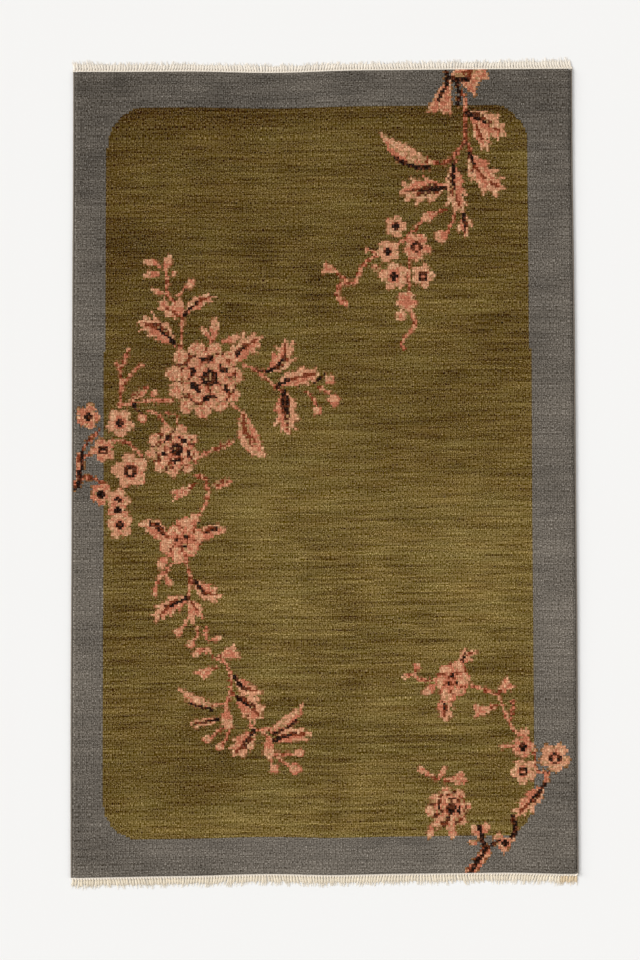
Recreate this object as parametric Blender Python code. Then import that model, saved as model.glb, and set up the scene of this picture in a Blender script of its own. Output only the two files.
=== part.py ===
"""A hand-knotted wool rug with overcast sides and a short cotton fringe at each end.

Metres, +Z up. The rug lies on z = 0 with its length along Y, the head at +Y, and the
origin under the middle of it. Run with blender --background --python part.py.
"""

import math
import random
from collections import namedtuple

import bmesh
import bpy

# Driving dimensions: the cloth
PILE_LENGTH = 2.438  # 8 feet of knotted rows
HEAD_WIDTH = 1.518  # over the selvedges; the rug is a little narrower at its head
FOOT_WIDTH = 1.530
SKEW = 0.008  # how much further up the right side lies than the left
THICKNESS = 0.011  # foundation and pile together
SHEARING = 0.0004  # how far the hand-sheared pile rises and falls
CORNER_ROUNDING = 0.004  # how far the pile's corners are worn in

# Driving dimensions: the sides and the ends
SELVEDGE = 0.0064  # diameter of the overcast cord at each side
BAND_WIDTH = 0.008  # the woven cotton band between the pile and the loose warps
BAND_THICKNESS = 0.0034
STRAND_COUNT = 150  # bunches of warp ends at each end of the rug
STRAND_LENGTH = 0.0225
STRAND_WIDTH = 0.0034
TIP_THICKNESS = 0.0018
GAP = 0.0003  # between touching pieces
DRAWN_IN = 0.001  # the ends are drawn in millimetres, so that their fill keeps each point

# How the ends wander: share is the way across from the left, out is towards the fringe
EdgePoint = namedtuple("EdgePoint", "share out")
HEAD_WANDER = (
    EdgePoint(0.00, 0.000),
    EdgePoint(0.10, -0.001),
    EdgePoint(0.22, -0.001),
    EdgePoint(0.40, -0.007),
    EdgePoint(0.58, -0.001),
    EdgePoint(0.80, 0.000),
    EdgePoint(1.00, 0.000),
)
FOOT_WANDER = (
    EdgePoint(0.00, 0.000),
    EdgePoint(0.22, -0.003),
    EdgePoint(0.38, -0.007),
    EdgePoint(0.52, -0.002),
    EdgePoint(0.65, -0.004),
    EdgePoint(0.85, -0.005),
    EdgePoint(1.00, 0.001),
)
SIDE_WANDER = 0.0009  # the sides are straighter: a slow wave of this height
SIDE_WAVES = 3.5

# Where the pile's surface falls away at its edge: inset from the edge, share of the height
RimPoint = namedtuple("RimPoint", "inset height")
RIM = (RimPoint(0.0, 0.62), RimPoint(0.0025, 0.86), RimPoint(0.007, 0.97), RimPoint(0.016, 1.0))
CELLS_ACROSS = 18
CELLS_ALONG = 28

# Colours, as linear red, green and blue
OLIVE_WOOL = (0.156, 0.105, 0.031)
GREY_WOOL = (0.133, 0.116, 0.094)
CREAM_COTTON = (0.71, 0.64, 0.52)


def clear_scene():
    for obj in list(bpy.data.objects):
        bpy.data.objects.remove(obj)


def wool_or_cotton(name, colour, roughness):
    material = bpy.data.materials.new(name)
    material.use_nodes = True
    shader = material.node_tree.nodes["Principled BSDF"]
    shader.inputs["Base Color"].default_value = (*colour, 1.0)
    shader.inputs["Roughness"].default_value = roughness
    shader.inputs["Metallic"].default_value = 0.0
    return material


def wander(points, share):
    """The outward offset of an end at this share of the width, eased between the points."""
    for before, after in zip(points, points[1:]):
        if share <= after.share:
            part = (share - before.share) / (after.share - before.share)
            eased = part * part * (3 - 2 * part)
            return before.out + (after.out - before.out) * eased
    return points[-1].out


def half_width(along):
    """Half the rug's width over the selvedges, at a share of its length from the foot."""
    width = FOOT_WIDTH + (HEAD_WIDTH - FOOT_WIDTH) * along
    return width / 2 + SIDE_WANDER * math.sin(SIDE_WAVES * math.pi * along)


def end_line(share, at_head):
    """Y of the pile's last row, at a share of the width."""
    points, way = (HEAD_WANDER, 1) if at_head else (FOOT_WANDER, -1)
    return way * (PILE_LENGTH / 2 + wander(points, share)) + SKEW * (share - 0.5)


def on_rug(across, along, inset_side=0.0):
    """The plan position of a share of the width and a share of the length."""
    reach = half_width(along) - inset_side
    foot, head = end_line(across, False), end_line(across, True)
    return (2 * across - 1) * reach, foot + (head - foot) * along


def stations(length, cells):
    """Shares of a length for the grid's lines: close together in the rim, even between."""
    near = [point.inset / length for point in RIM]
    first, last = near[-1], 1 - near[-1]
    middle = [first + (last - first) * i / cells for i in range(1, cells)]
    return near + middle + [1 - share for share in reversed(near)]


def rim_height(index, count):
    """Share of the pile's height at a grid line, counted from either edge."""
    from_edge = min(index, count - 1 - index)
    return RIM[min(from_edge, len(RIM) - 1)].height


def pile_height(x, y, shoulder):
    """Height of the sheared surface, which undulates slowly, times its shoulder."""
    swell = math.sin(5.3 * x + 1.1 * y) * math.cos(3.7 * y - 2.0 * x)
    return (THICKNESS + SHEARING * swell) * shoulder


def add_object(name, mesh, material, collection):
    obj = bpy.data.objects.new(name, mesh)
    obj.data.materials.clear()
    obj.data.materials.append(material)
    collection.objects.link(obj)
    return obj


def make_pile(collection, material):
    """The knotted cloth: a grid shaped to the outline, drawn down to a flat underside."""
    inset = SELVEDGE + GAP
    across = stations(FOOT_WIDTH, CELLS_ACROSS)
    along = stations(PILE_LENGTH, CELLS_ALONG)
    bm = bmesh.new()
    bmesh.ops.create_grid(bm, x_segments=len(across) - 1, y_segments=len(along) - 1, size=1)
    grid = sorted(bm.verts, key=lambda vert: (round(vert.co.y, 4), round(vert.co.x, 4)))
    for index, vert in enumerate(grid):
        row, column = divmod(index, len(across))
        x, y = on_rug(across[column], along[row], inset)
        rim_across = rim_height(column, len(across))
        rim_along = rim_height(row, len(along))
        if column in (0, len(across) - 1) and row in (0, len(along) - 1):
            x -= math.copysign(CORNER_ROUNDING, x)
            y -= math.copysign(CORNER_ROUNDING, y)
        vert.co = (x, y, pile_height(x, y, min(rim_across, rim_along)))
    border = [edge for edge in bm.edges if edge.is_boundary]
    lowered = bmesh.ops.extrude_edge_only(bm, edges=border)["geom"]
    for vert in lowered:
        if isinstance(vert, bmesh.types.BMVert):
            vert.co.z = 0.0
    bmesh.ops.holes_fill(bm, edges=[edge for edge in bm.edges if edge.is_boundary])
    bmesh.ops.recalc_face_normals(bm, faces=bm.faces)
    mesh = bpy.data.meshes.new("pile")
    bm.to_mesh(mesh)
    bm.free()
    return add_object("pile", mesh, material, collection)


def make_selvedge(name, side, collection, material):
    """The cord that the outer warps are bound into, lying beside the pile."""
    along = stations(PILE_LENGTH, CELLS_ALONG)
    edge = 1.0 if side > 0 else 0.0
    curve = bpy.data.curves.new(name, "CURVE")
    curve.dimensions = "3D"
    curve.bevel_depth = SELVEDGE / 2
    curve.bevel_resolution = 2
    curve.use_fill_caps = True
    spline = curve.splines.new("POLY")
    spline.points.add(len(along) - 1)
    for point, share in zip(spline.points, along):
        x, y = on_rug(edge, share, SELVEDGE / 2)
        point.co = (x, y, SELVEDGE / 2, 1.0)
    obj = bpy.data.objects.new(name, curve)
    obj.data.materials.append(material)
    collection.objects.link(obj)
    return obj


def strand_outline(root_x, root_y, way, lean, bend, length, width, slant):
    """Six points round one bunch of warps, from its left root to its right root."""
    waist_y = root_y + way * length * 0.5
    tip_y = root_y + way * length
    waist_x = root_x + lean * 0.5 + bend
    tip_x = root_x + lean
    return [
        (root_x - width / 2, root_y),
        (waist_x - width * 0.46, waist_y - slant),
        (tip_x - width * 0.36, tip_y - slant),
        (tip_x + width * 0.36, tip_y + slant),
        (waist_x + width * 0.46, waist_y + slant),
        (root_x + width / 2, root_y),
    ]


def comb_outline(at_head, seed):
    """The outline of a band and its strands, counter-clockwise at the foot."""
    dice = random.Random(seed)
    way = 1 if at_head else -1
    edge_share = 1.0 if at_head else 0.0
    reach = half_width(edge_share)
    pitch = 2 * reach / STRAND_COUNT
    inner = []
    for share in stations(FOOT_WIDTH, CELLS_ACROSS):
        inner.append(((2 * share - 1) * reach, end_line(share, at_head) + way * GAP))
    outer = []
    for index in range(STRAND_COUNT):
        root_x = -reach + pitch * (index + 0.5)
        share = (root_x / reach + 1) / 2
        root_y = end_line(share, at_head) + way * (GAP + BAND_WIDTH)
        drift = 0.0045 * math.sin(0.19 * index + seed) + 0.002 * math.sin(0.67 * index)
        lean = drift + dice.uniform(-0.0013, 0.0013)
        bend = dice.uniform(-0.0009, 0.0009)
        length = STRAND_LENGTH * dice.uniform(0.82, 1.14)
        width = STRAND_WIDTH * dice.uniform(0.85, 1.1)
        slant = dice.choice((-1, 1)) * dice.uniform(0.0002, 0.0006)
        outer += strand_outline(root_x, root_y, way, lean, bend, length, width, slant)
    left = (-reach, end_line(0.0, at_head) + way * (GAP + BAND_WIDTH))
    right = (reach, end_line(1.0, at_head) + way * (GAP + BAND_WIDTH))
    return inner + [right] + outer[::-1] + [left]


def make_fringe(name, at_head, seed, collection, material):
    """A band with its strands: a flat outline, extruded, then thinned towards the tips."""
    outline = comb_outline(at_head, seed)
    curve = bpy.data.curves.new(name + "_outline", "CURVE")
    curve.dimensions = "2D"
    curve.fill_mode = "BOTH"
    curve.extrude = BAND_THICKNESS / 2 / DRAWN_IN
    spline = curve.splines.new("POLY")
    spline.points.add(len(outline) - 1)
    for point, (x, y) in zip(spline.points, outline):
        point.co = (x / DRAWN_IN, y / DRAWN_IN, 0.0, 1.0)
    spline.use_cyclic_u = True
    flat = bpy.data.objects.new(name + "_outline", curve)
    collection.objects.link(flat)
    bpy.context.view_layer.update()
    graph = bpy.context.evaluated_depsgraph_get()
    mesh = bpy.data.meshes.new_from_object(flat.evaluated_get(graph))
    bpy.data.objects.remove(flat)
    band_end = PILE_LENGTH / 2 + GAP + BAND_WIDTH
    bm = bmesh.new()
    bm.from_mesh(mesh)
    bmesh.ops.scale(bm, vec=(DRAWN_IN, DRAWN_IN, DRAWN_IN), verts=bm.verts)
    bmesh.ops.remove_doubles(bm, verts=bm.verts, dist=0.00002)
    for vert in bm.verts:
        past_band = max(0.0, abs(vert.co.y) - band_end) / STRAND_LENGTH
        top = BAND_THICKNESS + (TIP_THICKNESS - BAND_THICKNESS) * min(1.0, past_band)
        vert.co.z = top if vert.co.z > 0 else 0.0
    bmesh.ops.recalc_face_normals(bm, faces=bm.faces)
    bm.to_mesh(mesh)
    bm.free()
    return add_object(name, mesh, material, collection)


def main():
    clear_scene()
    collection = bpy.data.collections.new("hand_knotted_rug")
    bpy.context.scene.collection.children.link(collection)
    olive = wool_or_cotton("olive wool pile", OLIVE_WOOL, 0.95)
    grey = wool_or_cotton("grey wool overcasting", GREY_WOOL, 0.9)
    cream = wool_or_cotton("cream cotton warp", CREAM_COTTON, 0.85)
    make_pile(collection, olive)
    make_selvedge("selvedge_left", -1, collection, grey)
    make_selvedge("selvedge_right", 1, collection, grey)
    make_fringe("fringe_head", True, 3, collection, cream)
    make_fringe("fringe_foot", False, 8, collection, cream)


main()
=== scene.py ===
# %% [markdown]
# # A hand-knotted rug, knot by knot
#
# A hand-knotted rug is made on a loom. Cotton warps run its whole length, wool knots are
# tied on them row by row, and a wool cord is bound along each side as the work goes up.
# When it is cut down, the ends of the warps stay as a fringe. This lesson makes the rug in
# the same order, with one face of mesh to each knot, so that the pattern is really tied
# into the pile and isn't a picture laid over it.

# %% The frame
import math

import bpy
import numpy as np
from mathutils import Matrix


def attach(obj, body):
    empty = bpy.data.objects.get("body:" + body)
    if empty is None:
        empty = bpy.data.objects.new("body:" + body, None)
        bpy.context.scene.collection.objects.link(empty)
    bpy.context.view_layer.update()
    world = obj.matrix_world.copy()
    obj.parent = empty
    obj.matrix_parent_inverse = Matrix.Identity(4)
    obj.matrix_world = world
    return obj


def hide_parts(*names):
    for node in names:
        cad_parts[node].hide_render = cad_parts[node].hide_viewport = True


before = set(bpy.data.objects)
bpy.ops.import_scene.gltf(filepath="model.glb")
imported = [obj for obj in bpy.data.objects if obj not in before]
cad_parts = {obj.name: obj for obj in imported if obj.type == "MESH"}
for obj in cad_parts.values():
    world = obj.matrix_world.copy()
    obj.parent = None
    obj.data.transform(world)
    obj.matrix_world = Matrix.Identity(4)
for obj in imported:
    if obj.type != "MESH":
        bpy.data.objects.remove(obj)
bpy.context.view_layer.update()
scene = bpy.context.scene
print("solids:", sorted(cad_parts))

# %% [markdown]
# ## The outline of the rug
#
# No two sides of a hand-knotted rug are quite parallel. This one is 12 mm narrower at its
# head, and the ends wander by a few millimetres, where the weaver beat the rows down
# harder. Its sides bulge outward by up to 4 mm, most of all a third of the way up the right
# one. The outline is a small function of two shares, across and along, because the pile,
# the back, the cords and the fringe all have to meet on the same wandering lines.

# %% The outline of the rug
PILE_LENGTH = 2.438
HEAD_WIDTH, FOOT_WIDTH = 1.518, 1.530
SKEW = 0.008
SIDE_WANDER, SIDE_WAVES = 0.0009, 3.5
SELVEDGE, GAP = 0.0064, 0.0003
MILLIMETRE = 0.001
LEFT_BULGE = {0: 2.1, 0.15: 2.3, 0.3: 3.0, 0.45: 2.8, 0.6: 1.2, 0.7: 0, 0.85: -0.4, 1: 0.6}
RIGHT_BULGE = {
    0: 2.2, 0.15: 1.6, 0.33: 4.3, 0.45: 3.7, 0.55: 2.8, 0.65: 1.6, 0.75: 0.1, 0.87: -1.2, 1: 0
}
BULGE_POWER = 8  # keeps most of the bulge in the outer tenth of each half
HEAD_WANDER = {0: 0, 0.1: -0.001, 0.22: -0.001, 0.4: -0.007, 0.58: -0.001, 0.8: 0, 1: 0}
FOOT_WANDER = {
    0: 0, 0.22: -0.003, 0.38: -0.007, 0.52: -0.002, 0.65: -0.004, 0.85: -0.005, 1: 0.001
}


def wander(points, share):
    """How far an end lies outward at these shares of the width, eased between points."""
    places = np.array(list(points))
    outs = np.array(list(points.values()))
    span = np.clip(np.searchsorted(places, share, side="right") - 1, 0, len(places) - 2)
    part = (share - places[span]) / (places[span + 1] - places[span])
    eased = part * part * (3 - 2 * part)
    return outs[span] + (outs[span + 1] - outs[span]) * eased


def end_line(share, at_head):
    """Y of the last row of knots, at shares of the width counted from the left."""
    share = np.asarray(share, float)
    points, way = (HEAD_WANDER, 1) if at_head else (FOOT_WANDER, -1)
    return way * (PILE_LENGTH / 2 + wander(points, share)) + SKEW * (share - 0.5)


def on_rug(across, along, inset_side=0.0):
    """X and Y of shares of the width and the length, counted from the foot's left."""
    across, along = np.asarray(across, float), np.asarray(along, float)
    width = FOOT_WIDTH + (HEAD_WIDTH - FOOT_WIDTH) * along
    reach = width / 2 + SIDE_WANDER * np.sin(SIDE_WAVES * np.pi * along) - inset_side
    foot, head = end_line(across, False), end_line(across, True)
    out = 2 * across - 1
    left, right = [
        np.interp(along, list(side), list(side.values())) for side in (LEFT_BULGE, RIGHT_BULGE)
    ]
    bulge = np.where(out < 0, left, right) * MILLIMETRE * np.sign(out) * out**BULGE_POWER
    return out * reach + bulge, foot + (head - foot) * along


corner_x, corner_y = on_rug([0, 1, 0, 1], [0, 0, 1, 1])
print("corners:", [(round(x, 3), round(y, 3)) for x, y in zip(corner_x, corner_y)])

# %% [markdown]
# ## The knot count
#
# Seen close, the pile is a fine check of about 6 mm: one knot to each square. The pile is
# 240 knots wide and 384 knots long, so the weaver's cartoon is a table of 384 rows by 240
# columns that says which yarn each knot is tied in. Row 0 is the foot, where the weaving
# starts. Random numbers come from seeded generators, so that the rug is the same each run.

# %% The knot count
KNOTS_ACROSS, KNOTS_ALONG = 240, 384
dice = np.random.default_rng(11)
column, row = np.meshgrid(np.arange(KNOTS_ACROSS) + 0.5, np.arange(KNOTS_ALONG) + 0.5)
stray = dice.uniform(-1, 1, column.shape)  # how unsurely each knot keeps to a drawn edge
mix = dice.uniform(0, 1, column.shape)  # which strand of a mixed yarn shows
print("knots:", column.size)

# %% [markdown]
# ## The yarns
#
# The weaver has one ball of wool for each colour. A dye card gives the colours as red,
# green and blue from 0 to 255, and Blender's shaders want light in linear units, so a
# helper turns one into the other. Each yarn has a number, which the cartoon holds.

# %% The yarns
YARNS = {
    "slate": (104, 97, 88),
    "olive": (110, 90, 46),
    "ink": (36, 12, 0),
    "rust": (116, 56, 32),
    "coral": (177, 106, 79),
    "peach": (191, 134, 101),
    "sand": (204, 156, 120),
    "tan": (156, 118, 80),
    "plum": (84, 44, 24),
    "umber": (122, 84, 50),
}
NUMBER = {name: number for number, name in enumerate(YARNS)}


def dyed(red, green, blue):
    """A dye card's colour as linear light."""
    share = np.array([red, green, blue]) / 255
    return np.where(share <= 0.04045, share / 12.92, ((share + 0.055) / 1.055) ** 2.4)


print("yarns:", ", ".join(NUMBER))

# %% [markdown]
# ## The border and the field
#
# The rug is slate grey with an olive field, whose corners are rounded. The border is
# wider on the right than on the left, and it strays by a knot or so from row to row, as the
# count of a handmade rug does. A rounded rectangle is easiest as a distance: a knot belongs
# to the field if it is inside all four sides, and within the radius of the corner's centre
# where it lies in a corner.

# %% The border and the field
FIELD_FOOT, FIELD_HEAD = 17.5, 367.3
FIELD_LEFT = np.interp(row, (0, 150, 250, 300, 384), (14.1, 14.4, 14.5, 15.3, 15.6))
FIELD_RIGHT = np.interp(row, (0, 150, 250, 300, 340), (220.0, 220.0, 219.5, 218.8, 219.3))
CORNER_RADII = {"foot_left": 19, "foot_right": 17, "head_left": 21, "head_right": 20}
cartoon = np.full(column.shape, NUMBER["slate"])


def field_mask():
    """True for the knots of the field."""
    in_field = (column > FIELD_LEFT) & (column < FIELD_RIGHT)
    in_field &= (row > FIELD_FOOT) & (row < FIELD_HEAD)
    for name, radius in CORNER_RADII.items():
        right, head = "right" in name, "head" in name
        across = column - (FIELD_RIGHT - radius) if right else FIELD_LEFT + radius - column
        along = row - (FIELD_HEAD - radius) if head else FIELD_FOOT + radius - row
        in_corner = (across > 0) & (along > 0)
        in_field &= ~(in_corner & (np.hypot(across, along) > radius))
    return in_field


is_field = field_mask()
cartoon[is_field] = NUMBER["olive"]
print("knots of olive:", int(is_field.sum()))

# %% [markdown]
# ## Drawing with knots: stems
#
# The stems are smooth lines, most of them one or two knots thick. A line is passed through
# a few points counted in knots from the foot's left corner, and every knot that lies close
# enough to it is tied in the stem's yarn. Some knots come out a shade lighter or darker,
# as they do in wool that was spun from more than one dye lot.

# %% Drawing with knots: stems
LIGHTER = {"ink": "plum", "rust": "coral", "coral": "peach"}
DARKER = {"ink": "ink", "rust": "plum", "coral": "rust"}
STEM_EDGE, STEM_STRAY = 0.15, 0.15  # knots beyond half the thickness, and how unsurely
LIGHT_FLECKS, DARK_FLECKS = 0.65, 0.25  # the parts of the mixture that they begin and end at


def smooth_line(course):
    """Points along a smooth curve through the course, a third of a knot apart or less."""
    course = np.array(course, float)
    steps = int(3 * np.hypot(*np.diff(course, axis=0).T).max()) + 4
    if len(course) == 2:
        share = np.linspace(0, 1, steps * 2)[:, None]
        return course[0] + (course[1] - course[0]) * share
    padded = np.vstack([2 * course[0] - course[1], course, 2 * course[-1] - course[-2]])
    t = np.linspace(0, 1, steps)[:, None]
    pieces = []
    for a, b, c, d in zip(padded, padded[1:], padded[2:], padded[3:]):
        pieces.append(
            0.5 * (2 * b + (c - a) * t + (2 * a - 5 * b + 4 * c - d) * t**2
                   + (3 * b - a - 3 * c + d) * t**3)
        )
    return np.vstack(pieces)


def near(points, reach):
    """A window of the cartoon round these points, as two slices."""
    low = np.floor(np.min(points, axis=0) - reach).astype(int)
    high = np.ceil(np.max(points, axis=0) + reach).astype(int)
    across = slice(max(0, low[0]), min(KNOTS_ACROSS, high[0]))
    along = slice(max(0, low[1]), min(KNOTS_ALONG, high[1]))
    return along, across


def from_line(line, window):
    """Distance of each knot in the window from a line, and the nearest point's index."""
    gaps = np.hypot(
        column[window][..., None] - line[:, 0], row[window][..., None] - line[:, 1]
    )
    return gaps.min(axis=-1), gaps.argmin(axis=-1)


def tie(window, mask, yarn):
    """Tie the masked knots of a window in a yarn."""
    cartoon[window][mask] = NUMBER[yarn]


def stem(yarn, thick, course):
    """A stem in one yarn, flecked with a lighter and a darker one."""
    line = smooth_line(course)
    window = near(line, thick + 1)
    gap, _ = from_line(line, window)
    on_stem = gap < thick / 2 + STEM_EDGE + STEM_STRAY * stray[window]
    tie(window, on_stem, yarn)
    tie(window, on_stem & (mix[window] > LIGHT_FLECKS), LIGHTER[yarn])
    tie(window, on_stem & (mix[window] < DARK_FLECKS), DARKER[yarn])


print("stem yarns:", ", ".join(LIGHTER))

# %% [markdown]
# ## Drawing with knots: shapes
#
# Everything else in the sprays is a filled shape. Three helpers are enough to draw them: one
# finds the knots inside a closed outline, one takes away a shape's outer ring of knots, so
# that a rim can be tied apart from its middle, and one ties knots in a mixture of yarns.

# %% Drawing with knots: shapes
PALE = ("peach", "sand", "peach", "peach", "tan", "peach", "peach", "peach", "sand", "peach")
WARM = ("coral", "coral", "peach", "coral", "coral", "peach", "coral", "coral")
DARK = ("ink", "ink", "ink", "plum")
SHADE = ("plum", "rust", "plum", "tan")


def inside(outline, window):
    """True for the knots of a window whose middles lie inside a closed outline."""
    x, y = column[window], row[window]
    within = np.zeros(x.shape, bool)
    for (ax, ay), (bx, by) in zip(outline, np.roll(outline, -1, axis=0)):
        if ay != by:
            crosses = (y < ay) != (y < by)
            within ^= crosses & (x < ax + (y - ay) * (bx - ax) / (by - ay))
    return within


def without_rim(shape):
    """A shape less its outermost knots."""
    padded = np.pad(shape, 1)
    held = padded[1:-1, 2:] & padded[1:-1, :-2] & padded[2:, 1:-1] & padded[:-2, 1:-1]
    return shape & held


def blend(window, mask, *yarns):
    """Tie the masked knots in a mixture of yarns, in equal parts."""
    choice = (mix[window] * len(yarns)).astype(int)
    for number, yarn in enumerate(yarns):
        tie(window, mask & (choice == number), yarn)


print("yarns in a pale mixture:", ", ".join(sorted(set(PALE))))

# %% [markdown]
# ## Drawing with knots: leaves
#
# A leaf is drawn on a bent midrib. Each side of it is a row of points that give the share
# of the length and the share of the half width, so that one table serves leaves of every
# size. The lobes point forwards, as a chrysanthemum's do: the edge runs out to a lobe's
# point and falls straight back into the notch behind it. A fishtail is a young leaf that
# widens all the way and ends in a notch. A small bud is a plain drop.

# %% Drawing with knots: leaves
LEAF_SIDES = (
    ((0, 0.1), (0.15, 0.6), (0.35, 0.92), (0.55, 1.0), (0.75, 0.75), (0.9, 0.38)),
    ((0, 0.15), (0.15, 0.55), (0.42, 0.9), (0.7, 1.12), (0.62, 0.55), (0.82, 0.3)),
    (
        (0, 0.15), (0.12, 0.5), (0.3, 0.82), (0.54, 1.12), (0.47, 0.62), (0.64, 0.74),
        (0.87, 0.95), (0.77, 0.38), (0.9, 0.18),
    ),
    (
        (0, 0.15), (0.1, 0.45), (0.22, 0.75), (0.4, 1.08), (0.36, 0.64), (0.48, 0.76),
        (0.69, 1.2), (0.62, 0.6), (0.73, 0.6), (0.91, 0.82), (0.82, 0.34), (0.93, 0.16),
    ),
)
FISHTAIL = ((0, 0.15), (0.3, 0.4), (0.6, 0.75), (0.97, 1.1), (0.84, 0.6), (0.93, 0.35))
SAWN = (
    (0, 0.2), (0.12, 0.75), (0.3, 1.1), (0.5, 1.2), (0.56, 1.3), (0.54, 1.0), (0.7, 1.05),
    (0.68, 0.75), (0.82, 0.75), (0.8, 0.45), (0.92, 0.35),
)
THREE_LOBES, TWO_LOBES = 19, 11.5  # knots of length from which a leaf has so many
RIB_POINTS, HALF_RIB = 60, 0.6  # points along a midrib, and half its thickness in knots
STAGGER = 0.05  # how far the right side's lobes are ahead of the left side's
FISHTAIL_NOTCH = 0.8


def midrib(base, tip, bend):
    """A bent line from base to tip that bows this many knots to its left."""
    base, tip = np.array(base, float), np.array(tip, float)
    way = tip - base
    side = np.array([-way[1], way[0]]) / np.hypot(*way)
    t = np.linspace(0, 1, RIB_POINTS)[:, None]
    rib = (1 - t) ** 2 * base + t**2 * tip
    return rib + 2 * t * (1 - t) * ((base + tip) / 2 + side * bend * 2)


def beside(rib, along, aside):
    """A point beside a midrib: along is a share of its length, aside is knots to its left."""
    at = along * (len(rib) - 1)
    low = min(int(at), len(rib) - 2)
    way = rib[low + 1] - rib[low]
    left = np.array([-way[1], way[0]]) / np.hypot(*way)
    return rib[low] + way * (at - low) + left * aside


def leaf_tables(kind, length, hand):
    """The tables of a leaf's left and right sides. hand is 1, or -1 to swap them."""
    if kind == "fishtail":
        return FISHTAIL, FISHTAIL
    if kind in ("under", "edge"):
        narrow = 0.9 if kind == "under" else 0.45
        smooth = tuple((share, out * narrow) for share, out in LEAF_SIDES[0])
        return (smooth, SAWN)[::hand]
    lobes = 3 if length > THREE_LOBES else 2 if length > TWO_LOBES else 1
    lobes = 0 if kind in ("long", "tan") else lobes
    return LEAF_SIDES[lobes], LEAF_SIDES[lobes]


def leaf_outline(rib, wide, left_side, right_side, end):
    """The closed outline of a leaf from two tables, the right side a little ahead."""
    left = [beside(rib, along, aside * wide / 2) for along, aside in left_side]
    right = [
        beside(rib, min(0.97, along + STAGGER * (0 < along < 0.9)), -aside * wide / 2)
        for along, aside in right_side
    ]
    return np.array([*left, beside(rib, end, 0), *right[::-1]])


def small_bud(rib, wide):
    """A drop of two yarns, with its point at the tip."""
    window = near(rib, wide / 2 + 2)
    gap, index = from_line(rib, window)
    along = index / (len(rib) - 1)
    swell = np.sin(np.pi * np.clip(along, 0, 1) ** 1.2) ** 0.7
    blade = gap < np.maximum(HALF_RIB, wide / 2 * swell)
    blend(window, blade, *PALE)
    blend(window, blade & (along < 0.5), *WARM)


def leaf(kind, base, tip, wide, bend=0):
    """One leaf or long bud."""
    rib = midrib(base, tip, bend)
    length = np.hypot(*(rib[-1] - rib[0]))
    if kind == "bud":
        small_bud(rib, wide)
        return
    window = near(rib, wide / 2 + 2)
    gap, index = from_line(rib, window)
    along = index / (len(rib) - 1)
    ways = np.gradient(rib, axis=0)
    turned = ways[index, 0] * (row[window] - rib[index, 1])
    turned -= ways[index, 1] * (column[window] - rib[index, 0])
    aside = gap * np.sign(turned)
    hand = 1 if bend >= 0 else -1
    end = FISHTAIL_NOTCH if kind == "fishtail" else 1.0
    blade = inside(leaf_outline(rib, wide, *leaf_tables(kind, length, hand), end), window)
    blade |= (gap < HALF_RIB) & (along < end - 0.03)
    inner = without_rim(blade)
    blend(window, blade, *PALE)
    if kind != "edge":
        blend(window, blade & (aside * hand < 0) & (inner | (along < 0.5)), *WARM)
    dye_leaf(kind, window, wide, length, along, aside * hand, gap, blade, inner)


print("points on a leaf's side, by its lobes:", [len(side) for side in LEAF_SIDES])

# %% [markdown]
# ## Drawing with knots: the yarns of a leaf
#
# Each leaf is pale, with a dark base, a dark midrib or a dark side, and the kinds differ in
# where the dark lies. A knot has one colour, so a soft shade is a mixture of yarns in which
# the knots take turns. One function holds the recipes of all the kinds. It lays the rust,
# the tan and the ink over the pale blade, so that the outline stays the same.

# %% Drawing with knots: the yarns of a leaf


def dye_leaf(kind, window, wide, length, along, aside, gap, blade, inner):
    """The rust, tan and ink of each kind of leaf, laid over its pale blade."""
    if kind in ("long", "plain", "tan", "fishtail"):
        blend(window, blade & ~inner, *WARM[:4], *PALE)
        rib_end = 0.3 if kind == "fishtail" else 0.6
        tie(window, (gap < HALF_RIB) & (along > 0.05) & (along < rib_end), "rust")
    if kind == "long":
        shade = inner & (gap < wide * 0.2) & (along < 0.7) & (gap > HALF_RIB)
        blend(window, shade, "tan", "rust", "tan")
    if kind == "tan":
        blend(window, blade & (aside > 0), "tan", "rust", "tan")
    if kind == "fishtail":
        blend(window, inner & (gap > HALF_RIB), *WARM)
    if kind in ("soft", "vein", "dark"):
        tie(window, (gap < HALF_RIB) & (along < 0.85), "rust")
        blend(window, (gap < 1.3 - 4 * along) & (along < 0.3), *DARK)
        blob = np.hypot(gap, (along - 0.24) * length) < min(1.7, wide * 0.2)
        blend(window, blob & (aside > -0.8), *DARK)
    if kind in ("vein", "dark"):
        core = (gap < wide * 0.22) & (aside > 0) & (along < 0.6)
        blend(window, core & inner, *SHADE)
        blend(window, (gap < 0.62) & (along < 0.5), *DARK)
    if kind == "dark":
        blend(window, inner & (gap < wide * (0.32 - 0.36 * along)), *SHADE)
        blend(window, inner & (gap < wide * (0.22 - 0.34 * along)), *DARK)
    if kind == "under":
        under = (aside > -0.5) & (along > 0.06) & (along < 0.74) & inner
        blend(window, under, *DARK)
        middle = np.abs(aside - wide * 0.16) < 0.5
        tie(window, under & middle & (along > 0.16) & (along < 0.66), "rust")
    if kind == "edge":
        pale = inner & (gap > 0.3) & (aside < -0.3)
        blend(window, pale, "peach", "tan", "peach", "sand")
        blend(window, blade & (aside > -0.4) & (along < 0.85), "coral", "coral", "tan")
        under = (aside > wide * 0.12) & (aside < wide * 0.26 + 0.5) & (along < 0.62)
        blend(window, under & (along > 0.04), *DARK)
        stroke = np.abs((along * 6) % 1 - 0.5) < 0.12
        blend(window, stroke & (aside < 0) & (gap < wide * 0.3) & (along < 0.5), "tan", "rust")


print("yarns of the dark parts:", ", ".join(sorted({*DARK, *SHADE})))

# %% [markdown]
# ## Drawing with knots: petals and blossoms
#
# A petal is an oval with a rim of its own, set at an angle round the flower's middle. A
# plum blossom is five of them in a ring, most often with a dark cross or a dark ring at its
# heart. Tying the petals over each other is quicker to write than working out which petal
# hides which, and it looks the same.

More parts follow.
